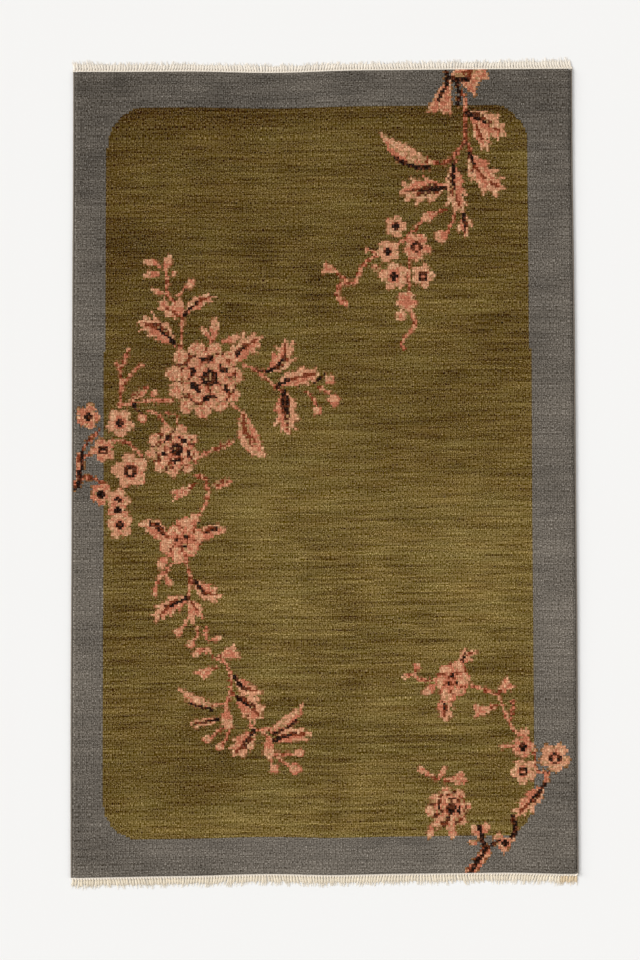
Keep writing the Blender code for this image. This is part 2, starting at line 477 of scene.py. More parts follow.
# %% Drawing with knots: petals and blossoms
BLOSSOM_PETALS = 5


def scallop(centre, angle, out, broad, deep, rim, middle, gap_yarns=()):
    """A petal at an angle round a centre, broad along the ring and deep across it."""
    cos, sin = math.cos(angle), math.sin(angle)
    heart = np.array([centre[0] + out * cos, centre[1] + out * sin])
    window = near([heart], max(broad, deep) + 3)
    across, along = column[window] - heart[0], row[window] - heart[1]
    outward, sideways = across * cos + along * sin, along * cos - across * sin
    if gap_yarns:
        beside_petal = np.hypot(outward / (deep + 0.9), sideways / (broad + 0.9)) < 1
        blend(window, beside_petal & (outward < deep * 0.5), *gap_yarns)
    blend(window, np.hypot(outward / deep, sideways / broad) < 1, *rim)
    blend(window, np.hypot((outward - 0.1 * deep) / deep, sideways / broad) < 0.74, *middle)


def ring_of(centre, count, turn, out, broad, deep, rim, middle, gap_yarns=()):
    """Petals in a ring, each of a slightly different size and place."""
    for number in range(count):
        wave = math.sin(number * 2.4 + turn)
        angle = turn + number * 2 * math.pi / count + 0.07 * math.sin(number * 3.1)
        far = out * (1 + 0.04 * math.sin(number * 1.9 + turn))
        size = broad * (1 + 0.1 * wave), deep * (1 - 0.08 * wave)
        scallop(centre, angle, far, *size, rim, middle, gap_yarns)


def disc(centre, reach, *yarns):
    """A round patch of knots in a mixture of yarns."""
    window = near([centre], reach + 2)
    gap = np.hypot(column[window] - centre[0], row[window] - centre[1])
    blend(window, gap < reach, *yarns)


def blossom(centre, reach, turn, heart):
    """A five-petalled blossom, whose heart has a dark cross, a dark ring or neither."""
    petals = WARM if "warm" in heart else PALE
    rims = PALE + ("tan", "coral")
    sizes = reach * 0.63, reach * 0.4, reach * 0.39
    ring_of(centre, BLOSSOM_PETALS, turn, *sizes, rims, petals)
    disc(centre, reach * 0.45, *WARM)
    window = near([centre], reach)
    across, along = column[window] - centre[0], row[window] - centre[1]
    if "cross" in heart:
        arms = np.minimum(np.abs(across), np.abs(along)) < 0.7
        blend(window, arms & (np.hypot(across, along) < 1.8), *DARK)
    if "ring" in heart:
        disc(centre, reach * 0.4, "plum", "ink", "plum")
        disc((centre[0], centre[1] - 0.5), max(0.9, reach * 0.17), "coral", "peach")


print("petals to a blossom:", BLOSSOM_PETALS)

# %% [markdown]
# ## Drawing with knots: peonies, open blooms and round buds
#
# A peony is built from the outside in: a ring of broad scallops, then a ruffled middle with
# dark hollows, then the seed head. An open bloom has a few broad petals of unlike length
# round a small dark heart. A round bud is two discs, the upper one paler, as if it were
# lit from above. The same few petals serve for all of them.

# %% Drawing with knots: peonies, open blooms and round buds
OPEN_HEART = ("coral", "rust", "coral")


def peony(centre, reach, petals, turn):
    """A full bloom seen a little from the side, so that its outer petals show at the left."""
    back = (centre[0] - 0.1 * reach, centre[1])
    outline = ("rust", "plum", "tan")
    disc(back, reach * 0.84, *SHADE)
    outer = PALE + ("tan", "tan", "tan")
    ring_of(back, petals, turn, reach * 0.83, reach * 0.205, reach * 0.19, outer, PALE + WARM[:4])
    disc((centre[0] + 0.05 * reach, centre[1]), reach * 0.7, *outline)
    ruffles = petals - 1
    sizes = reach * 0.57, reach * 0.16, reach * 0.15
    ring_of(centre, ruffles, turn + 0.3, *sizes, WARM, PALE, outline)
    disc(centre, reach * 0.44, *SHADE, "coral", "peach")
    ring_of(centre, 6, turn, reach * 0.34, reach * 0.16, reach * 0.13, WARM, PALE + WARM[:4])
    hollows = ruffles // 2 + 1
    for number in range(hollows):
        angle = turn + 0.5 + number * 2 * math.pi / hollows
        broad = reach * (0.17 + 0.05 * math.sin(number * 2.2))
        far = reach * (0.48 + 0.07 * math.sin(number * 1.7))
        scallop(centre, angle, far, broad * 0.9, reach * 0.1, DARK, DARK)
        scallop(centre, angle + 0.14, far + 0.1 * reach, broad * 0.75, reach * 0.08, WARM, PALE)
    seed = (centre[0] + 0.04 * reach, centre[1] + 0.02 * reach)
    disc(seed, reach * 0.22, *DARK)
    disc(seed, reach * 0.12, "plum", "ink", "plum", "tan")


def open_bloom(centre, reach, petals, turn):
    """Broad petals of unlike length, shaded in coral, round a small dark heart."""
    for number in range(petals):
        angle = turn + number * 2 * math.pi / petals
        long_petal = 1 + 0.16 * math.sin(number * 2.2 + turn)
        sizes = reach * 0.37, reach * 0.42 * long_petal, WARM, PALE, ("rust", "coral")
        scallop(centre, angle, reach * 0.58 * long_petal, *sizes)
        scallop(centre, angle, reach * 0.4, reach * 0.08, reach * 0.22, WARM, WARM)
    disc(centre, reach * 0.3, *OPEN_HEART)
    ring_of(centre, 3, turn + 0.5, reach * 0.26, reach * 0.15, reach * 0.1, SHADE, DARK)


def bud(centre, reach):
    """A round bud, lit on its upper left."""
    disc(centre, reach, *WARM)
    disc((centre[0] - 0.3, centre[1] + 0.4), reach * 0.7, *PALE)


print("heart of an open bloom:", ", ".join(OPEN_HEART))

# %% [markdown]
# ## The sprays: stems
#
# Three sprays grow in from the edges of the rug and a garland hangs under the first, with
# most of the field left plain. They could be painted as a picture, but then the knots
# wouldn't hold the pattern. So tables give where each thing grows, counted in knots from
# the foot's left corner, and the helpers above draw it. The places were noted by eye on a
# photograph of the rug, in pixels, and a separate small program turned them into knots and
# printed these rows. The stems come first, each with its yarn, its thickness and the points
# that it passes, so their lines keep close to those in the photograph.

# %% The sprays: stems
STEMS = (  # yarn, thickness and course
    # the branch at the left side
    ("coral", 1.2, ((51, 251), (52, 265), (50, 271), (45, 277), (45, 284), (44, 290))),
    ("coral", 1.0, ((50, 276), (53, 280), (56, 281))),
    ("coral", 1.0, ((49, 252), (47, 256))),
    ("coral", 1.0, ((66, 248), (66, 255))),
    ("coral", 1.2, ((82, 243), (87, 241), (97, 233), (102, 229))),
    ("rust", 1.0, ((86, 241), (93, 240))),
    ("coral", 1.0, ((111, 231), (114, 228), (117, 222))),
    ("ink", 1.0, ((116, 235), (120, 238))),
    ("coral", 1.0, ((117, 233), (122, 230), (125, 226))),
    ("coral", 1.1, ((75, 225), (79, 222), (81, 220))),
    ("coral", 1.1, ((47, 226), (35, 226), (22, 224))),
    ("coral", 1.1, ((22, 224), (23, 234), (22, 241), (20, 245))),
    ("coral", 1.0, ((22, 241), (24, 245), (26, 251))),
    ("coral", 1.0, ((23, 233), (27, 239), (33, 244))),
    ("ink", 1.1, ((29, 224), (30, 222), (32, 221))),
    ("coral", 1.0, ((35, 222), (41, 219), (45, 214))),
    ("coral", 1.0, ((45, 220), (49, 219), (50, 216))),
    ("rust", 1.2, ((12, 212), (6, 206), (3, 200), (3, 197))),
    ("coral", 2.0, ((3, 201), (2, 198), (2, 191), (1, 187), (-2, 185))),
    ("ink", 1.8, ((4, 202), (4, 198), (3, 191), (2, 186), (-2, 184))),
    ("rust", 1.2, ((3, 197), (6, 200), (10, 202))),
    ("rust", 1.2, ((2, 190), (8, 190), (13, 188), (16, 185))),
    ("coral", 1.1, ((16, 207), (24, 207), (30, 203), (33, 199))),
    ("coral", 1.1, ((58, 197), (61, 200), (67, 203))),
    ("coral", 1.1, ((59, 190), (63, 189), (64, 180), (61, 173), (58, 169))),
    # the garland under it
    ("coral", 1.1, ((49, 150), (44, 145), (40, 140), (39, 133))),
    ("coral", 1.0, ((44, 144), (47, 138))),
    ("coral", 1.2, ((54, 149), (56, 140), (55, 132), (57, 121))),
    ("coral", 1.0, ((56, 123), (53, 120), (50, 116))),
    ("coral", 1.0, ((59, 118), (59, 114), (57, 111))),
    ("coral", 1.0, ((63, 118), (64, 112), (70, 112))),
    ("coral", 1.0, ((61, 107), (64, 107), (68, 103), (72, 101))),
    ("coral", 1.2, ((72, 102), (75, 95), (75, 86), (72, 82), (68, 81))),
    ("coral", 1.1, ((75, 87), (78, 85))),
    ("coral", 1.1, ((73, 82), (73, 79))),
    ("coral", 1.0, ((74, 70), (70, 69), (65, 65))),
    ("coral", 1.0, ((75, 70), (73, 65), (71, 61))),
    ("coral", 1.2, ((84, 76), (86, 69), (95, 69))),
    ("coral", 1.1, ((90, 69), (93, 65), (97, 64))),
    ("coral", 1.0, ((95, 58), (101, 57), (107, 58))),
    ("coral", 1.0, ((96, 57), (101, 53), (105, 50))),
    ("coral", 1.0, ((94, 56), (95, 51))),
    # the spray that hangs at the head
    ("ink", 1.2, ((179, 386), (180, 382), (180, 377), (178, 373), (176, 369))),
    ("ink", 1.2, ((183, 379), (185, 377), (186, 373), (186, 370), (185, 367))),
    ("ink", 1.8, ((182, 380), (186, 379), (190, 379))),
    ("coral", 1.1, ((187, 373), (189, 369), (189, 362))),
    ("rust", 1.2, ((189, 362), (189, 351), (188, 348))),
    ("rust", 1.3, ((188, 348), (185, 344), (179, 339), (172, 339))),
    ("rust", 1.2, ((189, 349), (192, 343))),
    ("rust", 1.2, ((184, 340), (183, 337))),
    ("coral", 1.2, ((180, 317), (174, 315), (169, 313), (164, 307))),
    (
        "coral", 1.3,
        ((169, 313), (163, 306), (155, 300), (145, 295), (139, 290), (135, 282), (129, 285)),
    ),
    ("coral", 1.0, ((134, 282), (129, 282))),
    ("coral", 2.2, ((129, 282), (127, 279), (127, 275), (131, 272))),
    ("coral", 1.1, ((184, 318), (183, 313), (180, 306))),
    (
        "coral", 1.2,
        ((162, 294), (161, 283), (162, 276), (162, 269), (164, 261), (158, 254), (159, 250)),
    ),
    ("coral", 1.0, ((142, 298), (146, 295))),
    # the branch at the foot's right corner
    ("coral", 1.1, ((174, 92), (166, 92), (163, 94), (158, 94))),
    ("coral", 1.0, ((163, 94), (164, 98))),
    ("coral", 1.1, ((190, 89), (197, 87), (203, 84), (206, 77), (209, 70), (213, 66))),
    ("rust", 1.0, ((210, 82), (210, 77), (209, 72))),
    ("coral", 1.0, ((206, 60), (211, 60))),
    ("coral", 1.3, ((216, 66), (220, 58), (221, 49), (226, 47), (225, 42), (222, 37))),
    ("rust", 1.2, ((229, 52), (227, 47))),
    ("coral", 4.2, ((197, 10), (193, 5), (189, 0))),
    ("ink", 1.8, ((210, 27), (211, 21), (209, 17), (202, 14), (197, 11), (189, 0))),
    ("ink", 1.5, ((197, 11), (195, 16), (194, 22))),
)
print("stems:", len(STEMS))

# %% [markdown]
# ## The sprays: leaves
#
# Each leaf has a kind, a base where it leaves its stem, a tip, a width at its broadest and
# a bend, which is how many knots its midrib bows out. A long bud is drawn as a leaf too,
# because it has a base and a tip. A later leaf lies over an earlier one.

# %% The sprays: leaves
LEAVES = (  # kind, base, tip, width and bend
    # the branch at the left side
    ("bud", (44, 289), (46, 296), 4.4), ("bud", (42, 290), (33, 293), 3.3, -1),
    ("bud", (41, 287), (33, 286), 3.3), ("bud", (47, 286), (49, 288), 2.2),
    ("bud", (44, 277), (37, 280), 2.7), ("bud", (55, 281), (58, 284), 3.8),
    ("plain", (51, 266), (40, 274), 7.4), ("bud", (52, 267), (50, 275), 3.8),
    ("vein", (53, 267), (69, 276), 5.6, 2), ("vein", (48, 254), (30, 264), 10.5, -2),
    ("bud", (66, 255), (61, 262), 2.7), ("bud", (67, 255), (68, 266), 4.4),
    ("bud", (71, 254), (80, 257), 3.3), ("vein", (75, 243), (91, 257), 9.9, 2),
    ("vein", (93, 240), (101, 257), 10.5, -4), ("soft", (98, 233), (119, 238), 8.7, 2),
    ("dark", (101, 231), (103, 209), 11.1), ("long", (81, 221), (92, 199), 9.3, -3),
    ("tan", (26, 226), (36, 233), 3.7), ("bud", (37, 228), (40, 232), 3.3),
    ("bud", (32, 221), (33, 217), 3.3), ("fishtail", (59, 187), (46, 181), 5.6, 1),
    ("tan", (66, 185), (76, 188), 4.3), ("tan", (66, 202), (77, 207), 3.1),
    # the garland under it
    ("under", (45, 159), (31, 167), 7.4, -3), ("under", (60, 159), (73, 164), 6.2, 3),
    ("bud", (56, 166), (59, 172), 4.9), ("bud", (45, 152), (40, 146), 4.9),
    ("bud", (44, 145), (40, 141), 2.2), ("bud", (44, 141), (48, 138), 3.3),
    ("bud", (40, 137), (38, 133), 2.2), ("vein", (58, 140), (71, 133), 8.0, -2),
    ("vein", (55, 132), (39, 121), 8.0, -2), ("plain", (56, 131), (62, 122), 6.2),
    ("bud", (56, 128), (57, 120), 3.3), ("bud", (51, 117), (49, 115), 3.3),
    ("bud", (57, 112), (56, 109), 3.8), ("bud", (66, 112), (71, 113), 2.2),
    ("bud", (62, 108), (57, 104), 3.3), ("bud", (62, 106), (65, 107), 2.7),
    ("fishtail", (68, 103), (79, 107), 6.8), ("fishtail", (69, 99), (60, 94), 5.6, -1),
    ("vein", (77, 94), (90, 87), 6.8, -2), ("edge", (68, 80), (50, 89), 5.6, 2),
    ("vein", (78, 85), (91, 74), 10.5), ("dark", (69, 74), (56, 72), 4.9),
    ("bud", (73, 79), (74, 69), 5.5), ("edge", (94, 68), (110, 82), 6.2, -3),
    ("vein", (86, 68), (76, 56), 9.9), ("vein", (96, 64), (114, 67), 6.8, 1),
    ("bud", (93, 65), (94, 55), 5.5),
    # the spray that hangs at the head
    ("fishtail", (182, 381), (176, 361), 11.7, -1), ("fishtail", (184, 380), (196, 375), 8.0),
    ("fishtail", (188, 379), (201, 383), 8.0), ("tan", (195, 384), (182, 381), 5.6),
    ("vein", (190, 363), (209, 352), 11.7), ("plain", (193, 359), (200, 344), 6.2),
    ("edge", (173, 339), (148, 354), 9.9, 5), ("vein", (191, 343), (208, 326), 12.4, -3),
    ("vein", (183, 338), (188, 314), 10.5, -2), ("dark", (179, 327), (156, 325), 12.4),
    ("plain", (193, 338), (202, 326), 7.4), ("bud", (175, 315), (167, 312), 4.4),
    ("bud", (180, 306), (174, 302), 6.0), ("dark", (188, 314), (189, 304), 6.8),
    ("fishtail", (129, 285), (119, 290), 4.9, -1), ("bud", (142, 297), (140, 298), 3.3),
    ("tan", (148, 289), (143, 289), 3.7),
    # the branch at the foot's right corner
    ("vein", (185, 98), (193, 105), 6.2, 2), ("vein", (177, 85), (178, 72), 7.4),
    ("bud", (163, 97), (166, 100), 3.8), ("bud", (161, 94), (157, 93), 2.2),
    ("bud", (174, 90), (167, 85), 3.8), ("fishtail", (202, 85), (210, 91), 6.2),
    ("fishtail", (203, 80), (190, 77), 6.2, 1), ("bud", (212, 65), (218, 68), 3.3),
    ("bud", (208, 60), (204, 60), 2.7), ("vein", (225, 42), (211, 26), 8.0),
    ("bud", (194, 17), (190, 23), 3.8), ("bud", (195, 18), (198, 24), 3.8),
    ("bud", (203, 13), (207, 10), 3.8), ("bud", (204, 15), (202, 19), 3.8),
    ("bud", (207, 16), (211, 17), 3.8), ("bud", (193, 13), (189, 16), 3.3),
    ("fishtail", (174, 44), (164, 51), 3.7), ("bud", (174, 44), (178, 51), 2.7),
    ("fishtail", (177, 44), (188, 46), 6.2, -1), ("bud", (171, 23), (170, 17), 3.3),
    ("bud", (181, 21), (181, 17), 4.9),
)
print("leaves and long buds:", len(LEAVES))

# %% [markdown]
# ## The sprays: flowers
#
# Every flower is a middle and a reach. The turn is the angle of its first petal, so that
# flowers side by side don't stand alike. Three peonies are the largest. One open bloom is
# at the top of the garland and one at the tip of the corner branch, and plum blossoms and
# round buds fill the rest.

# %% The sprays: flowers
PEONIES = (  # middle, reach, petals and turn, as for the open blooms
    ((64.6, 236.5), 18.2, 11, 0.1),
    ((48.9, 202.7), 12.6, 9, 0.5),
    ((180.1, 30.6), 10.6, 8, 0.9),
)
OPEN_BLOOMS = (((52.0, 159.3), 10.6, 6, 0.3), ((181.3, 91.4), 9.2, 6, 1.2))
BLOSSOMS = (  # middle, reach, turn and heart
    # the branch at the left side
    ((7, 219), 5.7, 0, "cross warm"), ((22, 216), 6.8, 1, "cross"),
    ((14, 203), 5.7, 2, "ring warm"), ((27, 193), 8.6, 3, "ring"),
    ((13, 182), 5.1, 1, "cross warm"), ((21, 179), 5.7, 0, "cross"),
    ((21, 174), 5.1, 2, "cross warm"), ((22, 167), 6.3, 3, "cross"),
    # the spray that hangs at the head
    ((155, 309), 5.1, 0, "cross"), ((165, 299), 6.7, 1, "ring warm"),
    ((151, 297), 5.6, 2, "cross"), ((154, 285), 6.7, 3, "cross"), ((168, 285), 5.6, 0, "ring"),
    ((160, 273), 4.9, 1, "warm"), ((157, 266), 2.6, 0, "plain"),
    # the branch at the foot's right corner
    ((215, 60), 5.1, 0, "cross warm"), ((215, 48), 6.2, 2, "ring"), ((230, 55), 7.2, 1, "ring"),
    ((206, 14), 3.6, 2, "cross warm"),
)
BUDS = (  # middle and reach
    # the branch at the left side
    ((56, 282), 1.9), ((123, 236), 2.4), ((117, 221), 2.4), ((125, 226), 2.6), ((33, 218), 1.9),
    # the garland under it
    ((50, 116), 1.9), ((56, 110), 2.1), ((64, 65), 1.9), ((70, 61), 1.9), ((108, 58), 1.9),
    ((106, 50), 2.9), ((96, 50), 2.4),
)
print("flowers:", len(PEONIES) + len(OPEN_BLOOMS) + len(BLOSSOMS), "round buds:", len(BUDS))

# %% [markdown]
# ## Tying the sprays
#
# The stems are tied first, then the leaves, and the flowers lie over both. The dark stems
# are tied a second time, because they cross in front of their leaves. Last, a third of the
# knots beside a spray are tied in a brown between its colours and the field's, so that the
# spray doesn't look cut out.

# %% Tying the sprays
UMBER_FROM = 0.66
dark_stems = [plant for plant in STEMS if plant[0] == "ink"]
for draw, plants in (
    (stem, STEMS),
    (leaf, LEAVES),
    (stem, dark_stems),
    (peony, PEONIES),
    (open_bloom, OPEN_BLOOMS),
    (blossom, BLOSSOMS),
    (bud, BUDS),
):
    for plant in plants:
        draw(*plant)
is_spray = (cartoon != NUMBER["slate"]) & (cartoon != NUMBER["olive"])
around = np.pad(is_spray, 1)
beside_spray = around[1:-1, 2:] | around[1:-1, :-2] | around[2:, 1:-1] | around[:-2, 1:-1]
cartoon[beside_spray & ~is_spray & (mix > UMBER_FROM)] = NUMBER["umber"]
print("knots in the sprays:", int(is_spray.sum()))

# %% [markdown]
# ## Uneven dyeing
#
# Wool that was dyed by hand is never one flat colour. The field has long thin streaks
# across the rug, because a row is tied from one length of yarn at a time, and wider soft
# bands where a new dye lot was begun. On top of these the wool is made darker on the whole
# from the foot towards the head, row by row, and darker towards the left side, and a few
# wide patches are lighter or darker than the rows round them. The border is cloudier. Each
# knot also catches the light a little differently. All of this is one table of lightness.

# %% Uneven dyeing


def stretched(run, rise, seed):
    """Soft random values from -1 to 1, drawn out to run knots across and rise rows along."""
    own = np.random.default_rng(seed)
    across = np.arange(KNOTS_ACROSS) / run
    lines = int(KNOTS_ALONG / rise) + 2
    values = own.uniform(-1, 1, (lines, int(KNOTS_ACROSS / run) + 3))
    shifts = own.uniform(0, 1, lines)
    whole = np.arange(values.shape[1])
    rows = np.array(
        [np.interp(across + shift, whole, line) for shift, line in zip(shifts, values)]
    )
    height = np.arange(KNOTS_ALONG) / rise
    low = height.astype(int)
    part = (height - low)[:, None]
    part = part * part * (3 - 2 * part)
    return rows[low] * (1 - part) + rows[low + 1] * part


streaks = 0.7 * stretched(8, 1, 1) + 0.65 * stretched(20, 1, 2) + 0.25 * stretched(70, 1, 3)
bands = 0.5 * stretched(90, 8, 4) + 0.4 * stretched(50, 24, 5) + 0.5 * stretched(30, 3, 8)
clouds = 0.5 * stretched(30, 30, 6) + 0.4 * stretched(12, 14, 7) + 0.3 * stretched(8, 5, 9)
speckle = dice.normal(0, 1, column.shape)
ROW_LIGHTNESS = {  # row, and how much lighter the wool is there
    0: 0.03, 22: 0.06, 40: -0.1, 65: -0.08, 95: 0.01, 125: 0.18, 155: 0.09, 185: -0.12,
    215: -0.24, 245: -0.26, 275: -0.2, 305: -0.34, 335: -0.3, 350: -0.36, 365: -0.54, 384: -0.4,
}
COLUMN_LIGHTNESS = {0: -0.06, 14: -0.12, 40: -0.1, 90: 0.0, 240: 0.02}  # by column
PATCHES = (  # middle across and along, reach and amount
    (2, 384, 26, -0.3), (75, 380, 14, 0.26), (165, 378, 14, -0.3), (222, 356, 26, 0.16),
    (4, 290, 34, -0.14), (60, 40, 34, -0.3), (28, 95, 34, 0.1), (100, 6, 50, 0.26),
    (238, 12, 18, -0.22), (4, 120, 44, -0.2), (230, 110, 30, -0.08), (150, 10, 20, 0.1),
    (22, 85, 22, 0.12), (24, 335, 16, 0.16), (60, 245, 14, -0.1), (205, 100, 20, -0.12),
)
broad_lightness = np.interp(row, list(ROW_LIGHTNESS), list(ROW_LIGHTNESS.values()))
broad_lightness += np.interp(column, list(COLUMN_LIGHTNESS), list(COLUMN_LIGHTNESS.values()))
for across, along, reach, amount in PATCHES:
    broad_lightness += amount * np.exp(-((column - across) ** 2 + (row - along) ** 2) / reach**2)
unevenness = 0.42 * streaks + 0.24 * bands + 0.32 * clouds + 0.03 * speckle
olive_light = (1 + broad_lightness) * (1 + unevenness)
slate_light = 1 + 0.13 * streaks + 0.1 * bands + 0.3 * clouds + 0.03 * speckle + 0.45 * broad_lightness
spray_light = 1 + 0.06 * streaks + 0.06 * speckle + 0.25 * np.minimum(broad_lightness + 0.1, 0)
print("olive from", round(float(olive_light.min()), 2), "to", round(float(olive_light.max()), 2))

# %% [markdown]
# ## The colour of every knot
#
# The table of yarns and the table of lightness make one colour for each knot. In the
# field a lighter knot is also yellower and a darker one browner, as undyed and overdyed
# strands are, so the olive is mixed between two ends and isn't only scaled.

# %% The colour of every knot
OLIVE_DARK, OLIVE_PALE = dyed(68, 48, 3), dyed(140, 119, 68)
colours = np.array([dyed(*dye) for dye in YARNS.values()])
knot_colour = colours[cartoon] * np.clip(spray_light, 0.5, 1.5)[..., None]
slate = cartoon == NUMBER["slate"]
knot_colour[slate] = colours[NUMBER["slate"]] * np.clip(slate_light, 0.5, 1.6)[slate][:, None]
olive = cartoon == NUMBER["olive"]
pale = np.clip(0.45 + 0.6 * (olive_light[olive] - 1), -0.1, 1.4)[:, None]
redder = 0.6 * stretched(20, 6, 12) + 0.6 * stretched(9, 2, 13)
knot_colour[olive] = OLIVE_DARK + (OLIVE_PALE - OLIVE_DARK) * pale
knot_colour[olive] *= 1 + redder[olive][:, None] * (0.035, -0.015, -0.03)
print("mean of the field:", np.round(knot_colour[olive].mean(axis=0), 3))

# %% [markdown]
# ## Pieces of yarn
#
# Every piece of the rug is yarn of some kind, so all of them are made alike: a mesh with
# one colour to each face, kept on the mesh itself. A colour on the mesh needs no picture
# and goes along when the mesh is exported. Each piece then rides on the rug's one body
# and stands for the solids that it dresses.

# %% Pieces of yarn


def yarn_mesh(name, places, faces, face_colours, plan=None, face_depth=1.0):
    """A mesh with one colour to each face, and the plan as its unwrapping if one is given.

    The depth, kept beside the colour, is how strongly the wool's mottling, with its painted shade
    and painted sheen, shows there.
    """
    mesh = bpy.data.meshes.new(name)
    mesh.from_pydata([tuple(place) for place in places], [], [tuple(face) for face in faces])
    corners = np.array([len(face) for face in faces])
    tint = mesh.color_attributes.new("yarn", "FLOAT_COLOR", "CORNER")
    rgba = np.ones((int(corners.sum()), 4))
    rgba[:, :3] = np.repeat(np.asarray(face_colours), corners, axis=0)
    rgba[:, 3] = np.repeat(np.broadcast_to(face_depth, len(faces)), corners)
    tint.data.foreach_set("color", rgba.ravel())
    if plan is not None:
        loops = np.zeros(len(mesh.loops), int)
        mesh.loops.foreach_get("vertex_index", loops)
        layer = mesh.uv_layers.new(name="OFBake")
        layer.data.foreach_set("uv", np.asarray(plan)[loops].ravel())
    mesh.update()
    return mesh


def put_in_scene(name, data):
    """A new object for a mesh, a light or a camera."""
    made = bpy.data.objects.new(name, data)
    scene.collection.objects.link(made)
    return made


def add_piece(name, mesh, material, slot, *nodes):
    """Put a piece in the scene, riding on the rug and standing for these solids."""
    piece = put_in_scene(name, mesh)
    piece.data.materials.append(material)
    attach(piece, "root")
    if nodes:
        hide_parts(*nodes)
    return piece


print("solids to dress:", len(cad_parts))

# %% [markdown]
# ## A grid over the rug
#
# The pile and the back both need a grid that fills the rug's wandering outline. Blender
# can subdivide a plane, but its rows would be dead straight. Here the warps and the rows
# stray a little from an even spacing, as they do on a loom, and each corner is drawn in by
# 4 mm, where the last knots wear round. A skirt closes a grid's side towards the floor.

# %% A grid over the rug
WARP_STRAY, ROW_STRAY = 0.16, 0.22
CORNER_ROUNDING = 0.004


def unevenly(count, stray, seed):
    """Shares from 0 to 1 of lines that stray from an even spacing by this part of a gap."""
    lines = np.arange(count + 1) + np.random.default_rng(seed).normal(0, stray, count + 1)
    lines[[0, -1]] = 0, count
    return np.sort(lines) / count


def rug_grid(across_count, along_count):
    """Vertex places of a grid over the whole pile, as rows of (x, y), and inset from the edge."""
    across = unevenly(across_count, WARP_STRAY, 21)
    along = unevenly(along_count, ROW_STRAY, 22)
    across, along = np.meshgrid(across, along)
    x, y = on_rug(across, along, SELVEDGE + GAP)
    for i, j in ((0, 0), (0, -1), (-1, 0), (-1, -1)):
        x[i, j] -= math.copysign(CORNER_ROUNDING, x[i, j])
        y[i, j] -= math.copysign(CORNER_ROUNDING, y[i, j])
    inset = np.minimum(
        np.minimum(across, 1 - across) * FOOT_WIDTH, np.minimum(along, 1 - along) * PILE_LENGTH
    )
    return x, y, inset


def grid_faces(rows, columns):
    """Faces between the vertices of a grid, counter-clockwise from above."""
    index = np.arange(rows * columns).reshape(rows, columns)
    quads = np.stack([index[:-1, :-1], index[:-1, 1:], index[1:, 1:], index[1:, :-1]], axis=-1)
    return quads.reshape(-1, 4)


def grid_edge(rows, columns):
    """Indices of a grid's outer vertices, counter-clockwise from the first."""
    index = np.arange(rows * columns).reshape(rows, columns)
    parts = [index[0, :-1], index[:-1, -1], index[-1, :0:-1], index[:0:-1, 0]]
    return np.concatenate(parts)


def skirt(places, loop, heights):
    """New vertices under a loop at these heights, and the faces that hang between them."""
    rings, faces, above, start = [], [], loop, len(places)
    for height in heights:
        ring = places[loop]
        ring[:, 2] = height
        below = start + np.arange(len(loop))
        faces.append(np.stack([above, below, np.roll(below, -1), np.roll(above, -1)], axis=-1))
        rings.append(ring)
        above, start = below, start + len(loop)
    return np.vstack([places, *rings]), np.vstack(faces)


x, y, inset = rug_grid(KNOTS_ACROSS, KNOTS_ALONG)
print("grid of the pile:", x.shape)

# %% [markdown]
# ## The pile
#
# The pile could be a plane with a picture on it, or a plane with particle hair. A picture
# has no knots, and hair for a rug of this size is millions of strands. One face to a knot
# gives a sheared surface that is really uneven, and it keeps each knot's colour. The
# grid's edge rows fall away towards the floor, as the pile of a rug leans out there.

# %% The pile
THICKNESS, SHEARING = 0.011, 0.0004
RIM_INSETS, RIM_HEIGHTS = (0.0, 0.0025, 0.007, 0.016), (0.62, 0.86, 0.97, 1.0)
UNEVEN_KNOT = 0.0003
HEM_HEIGHTS, HEM_SHADE = (0.0045, 0.0006), 0.8
BORDER_DEPTH, SPRAY_DEPTH = 0.8, 0.6  # of the mottling, beside the field's 1
PLAN_MARGIN = 0.004

swell = np.sin(5.3 * x + 1.1 * y) * np.cos(3.7 * y - 2.0 * x)
shoulder = np.interp(inset, RIM_INSETS, RIM_HEIGHTS)
uneven = dice.uniform(-1, 1, x.shape) * UNEVEN_KNOT
z = (THICKNESS + SHEARING * swell - UNEVEN_KNOT + uneven) * shoulder
top = np.stack([x, y, z], axis=-1).reshape(-1, 3)
faces = grid_faces(*x.shape)
loop = grid_edge(*x.shape)
places, hem_faces = skirt(top, loop, HEM_HEIGHTS)
edge_knots = np.clip(loop % (KNOTS_ACROSS + 1), 0, KNOTS_ACROSS - 1)
edge_rows = np.clip(loop // (KNOTS_ACROSS + 1), 0, KNOTS_ALONG - 1)
hem_colour = knot_colour[edge_rows, edge_knots] * HEM_SHADE
plan_top = np.stack(
    [
        np.tile(np.linspace(0, 1, KNOTS_ACROSS + 1), KNOTS_ALONG + 1),
        np.repeat(np.linspace(0, 1, KNOTS_ALONG + 1), KNOTS_ACROSS + 1),
    ],
    axis=-1,
)
plan_top = PLAN_MARGIN + plan_top * (1 - 2 * PLAN_MARGIN)
outer = (plan_top[loop] - 0.5) * (0.5 / (0.5 - PLAN_MARGIN))
plan = np.vstack([plan_top, (plan_top[loop] + outer + 0.5) / 2, outer + 0.5])
depth_here = np.where(olive, 1.0, np.where(slate, BORDER_DEPTH, SPRAY_DEPTH))
pile_mesh = yarn_mesh(
    "rug_pile",
    places,
    np.vstack([faces, hem_faces]),
    np.vstack([knot_colour.reshape(-1, 3), hem_colour, hem_colour * HEM_SHADE]),
    plan,
    np.append(depth_here, np.ones(len(hem_faces))),
)
print("pile:", len(pile_mesh.polygons), "faces, thickest", round(float(z.max()) * 1000, 1), "mm")

# %% [markdown]
# ## Wool: small helpers
#
# A material is a tree of nodes. It could be drawn by hand in the shader editor, but here it
# is written down, so that three wools and a cotton share one recipe. These helpers make a
# node, a sum, the three numbers of a vector and a noise, each in one line of the recipe.

# %% Wool: small helpers
KNOT_WIDTH, KNOT_LENGTH = FOOT_WIDTH / KNOTS_ACROSS, PILE_LENGTH / KNOTS_ALONG


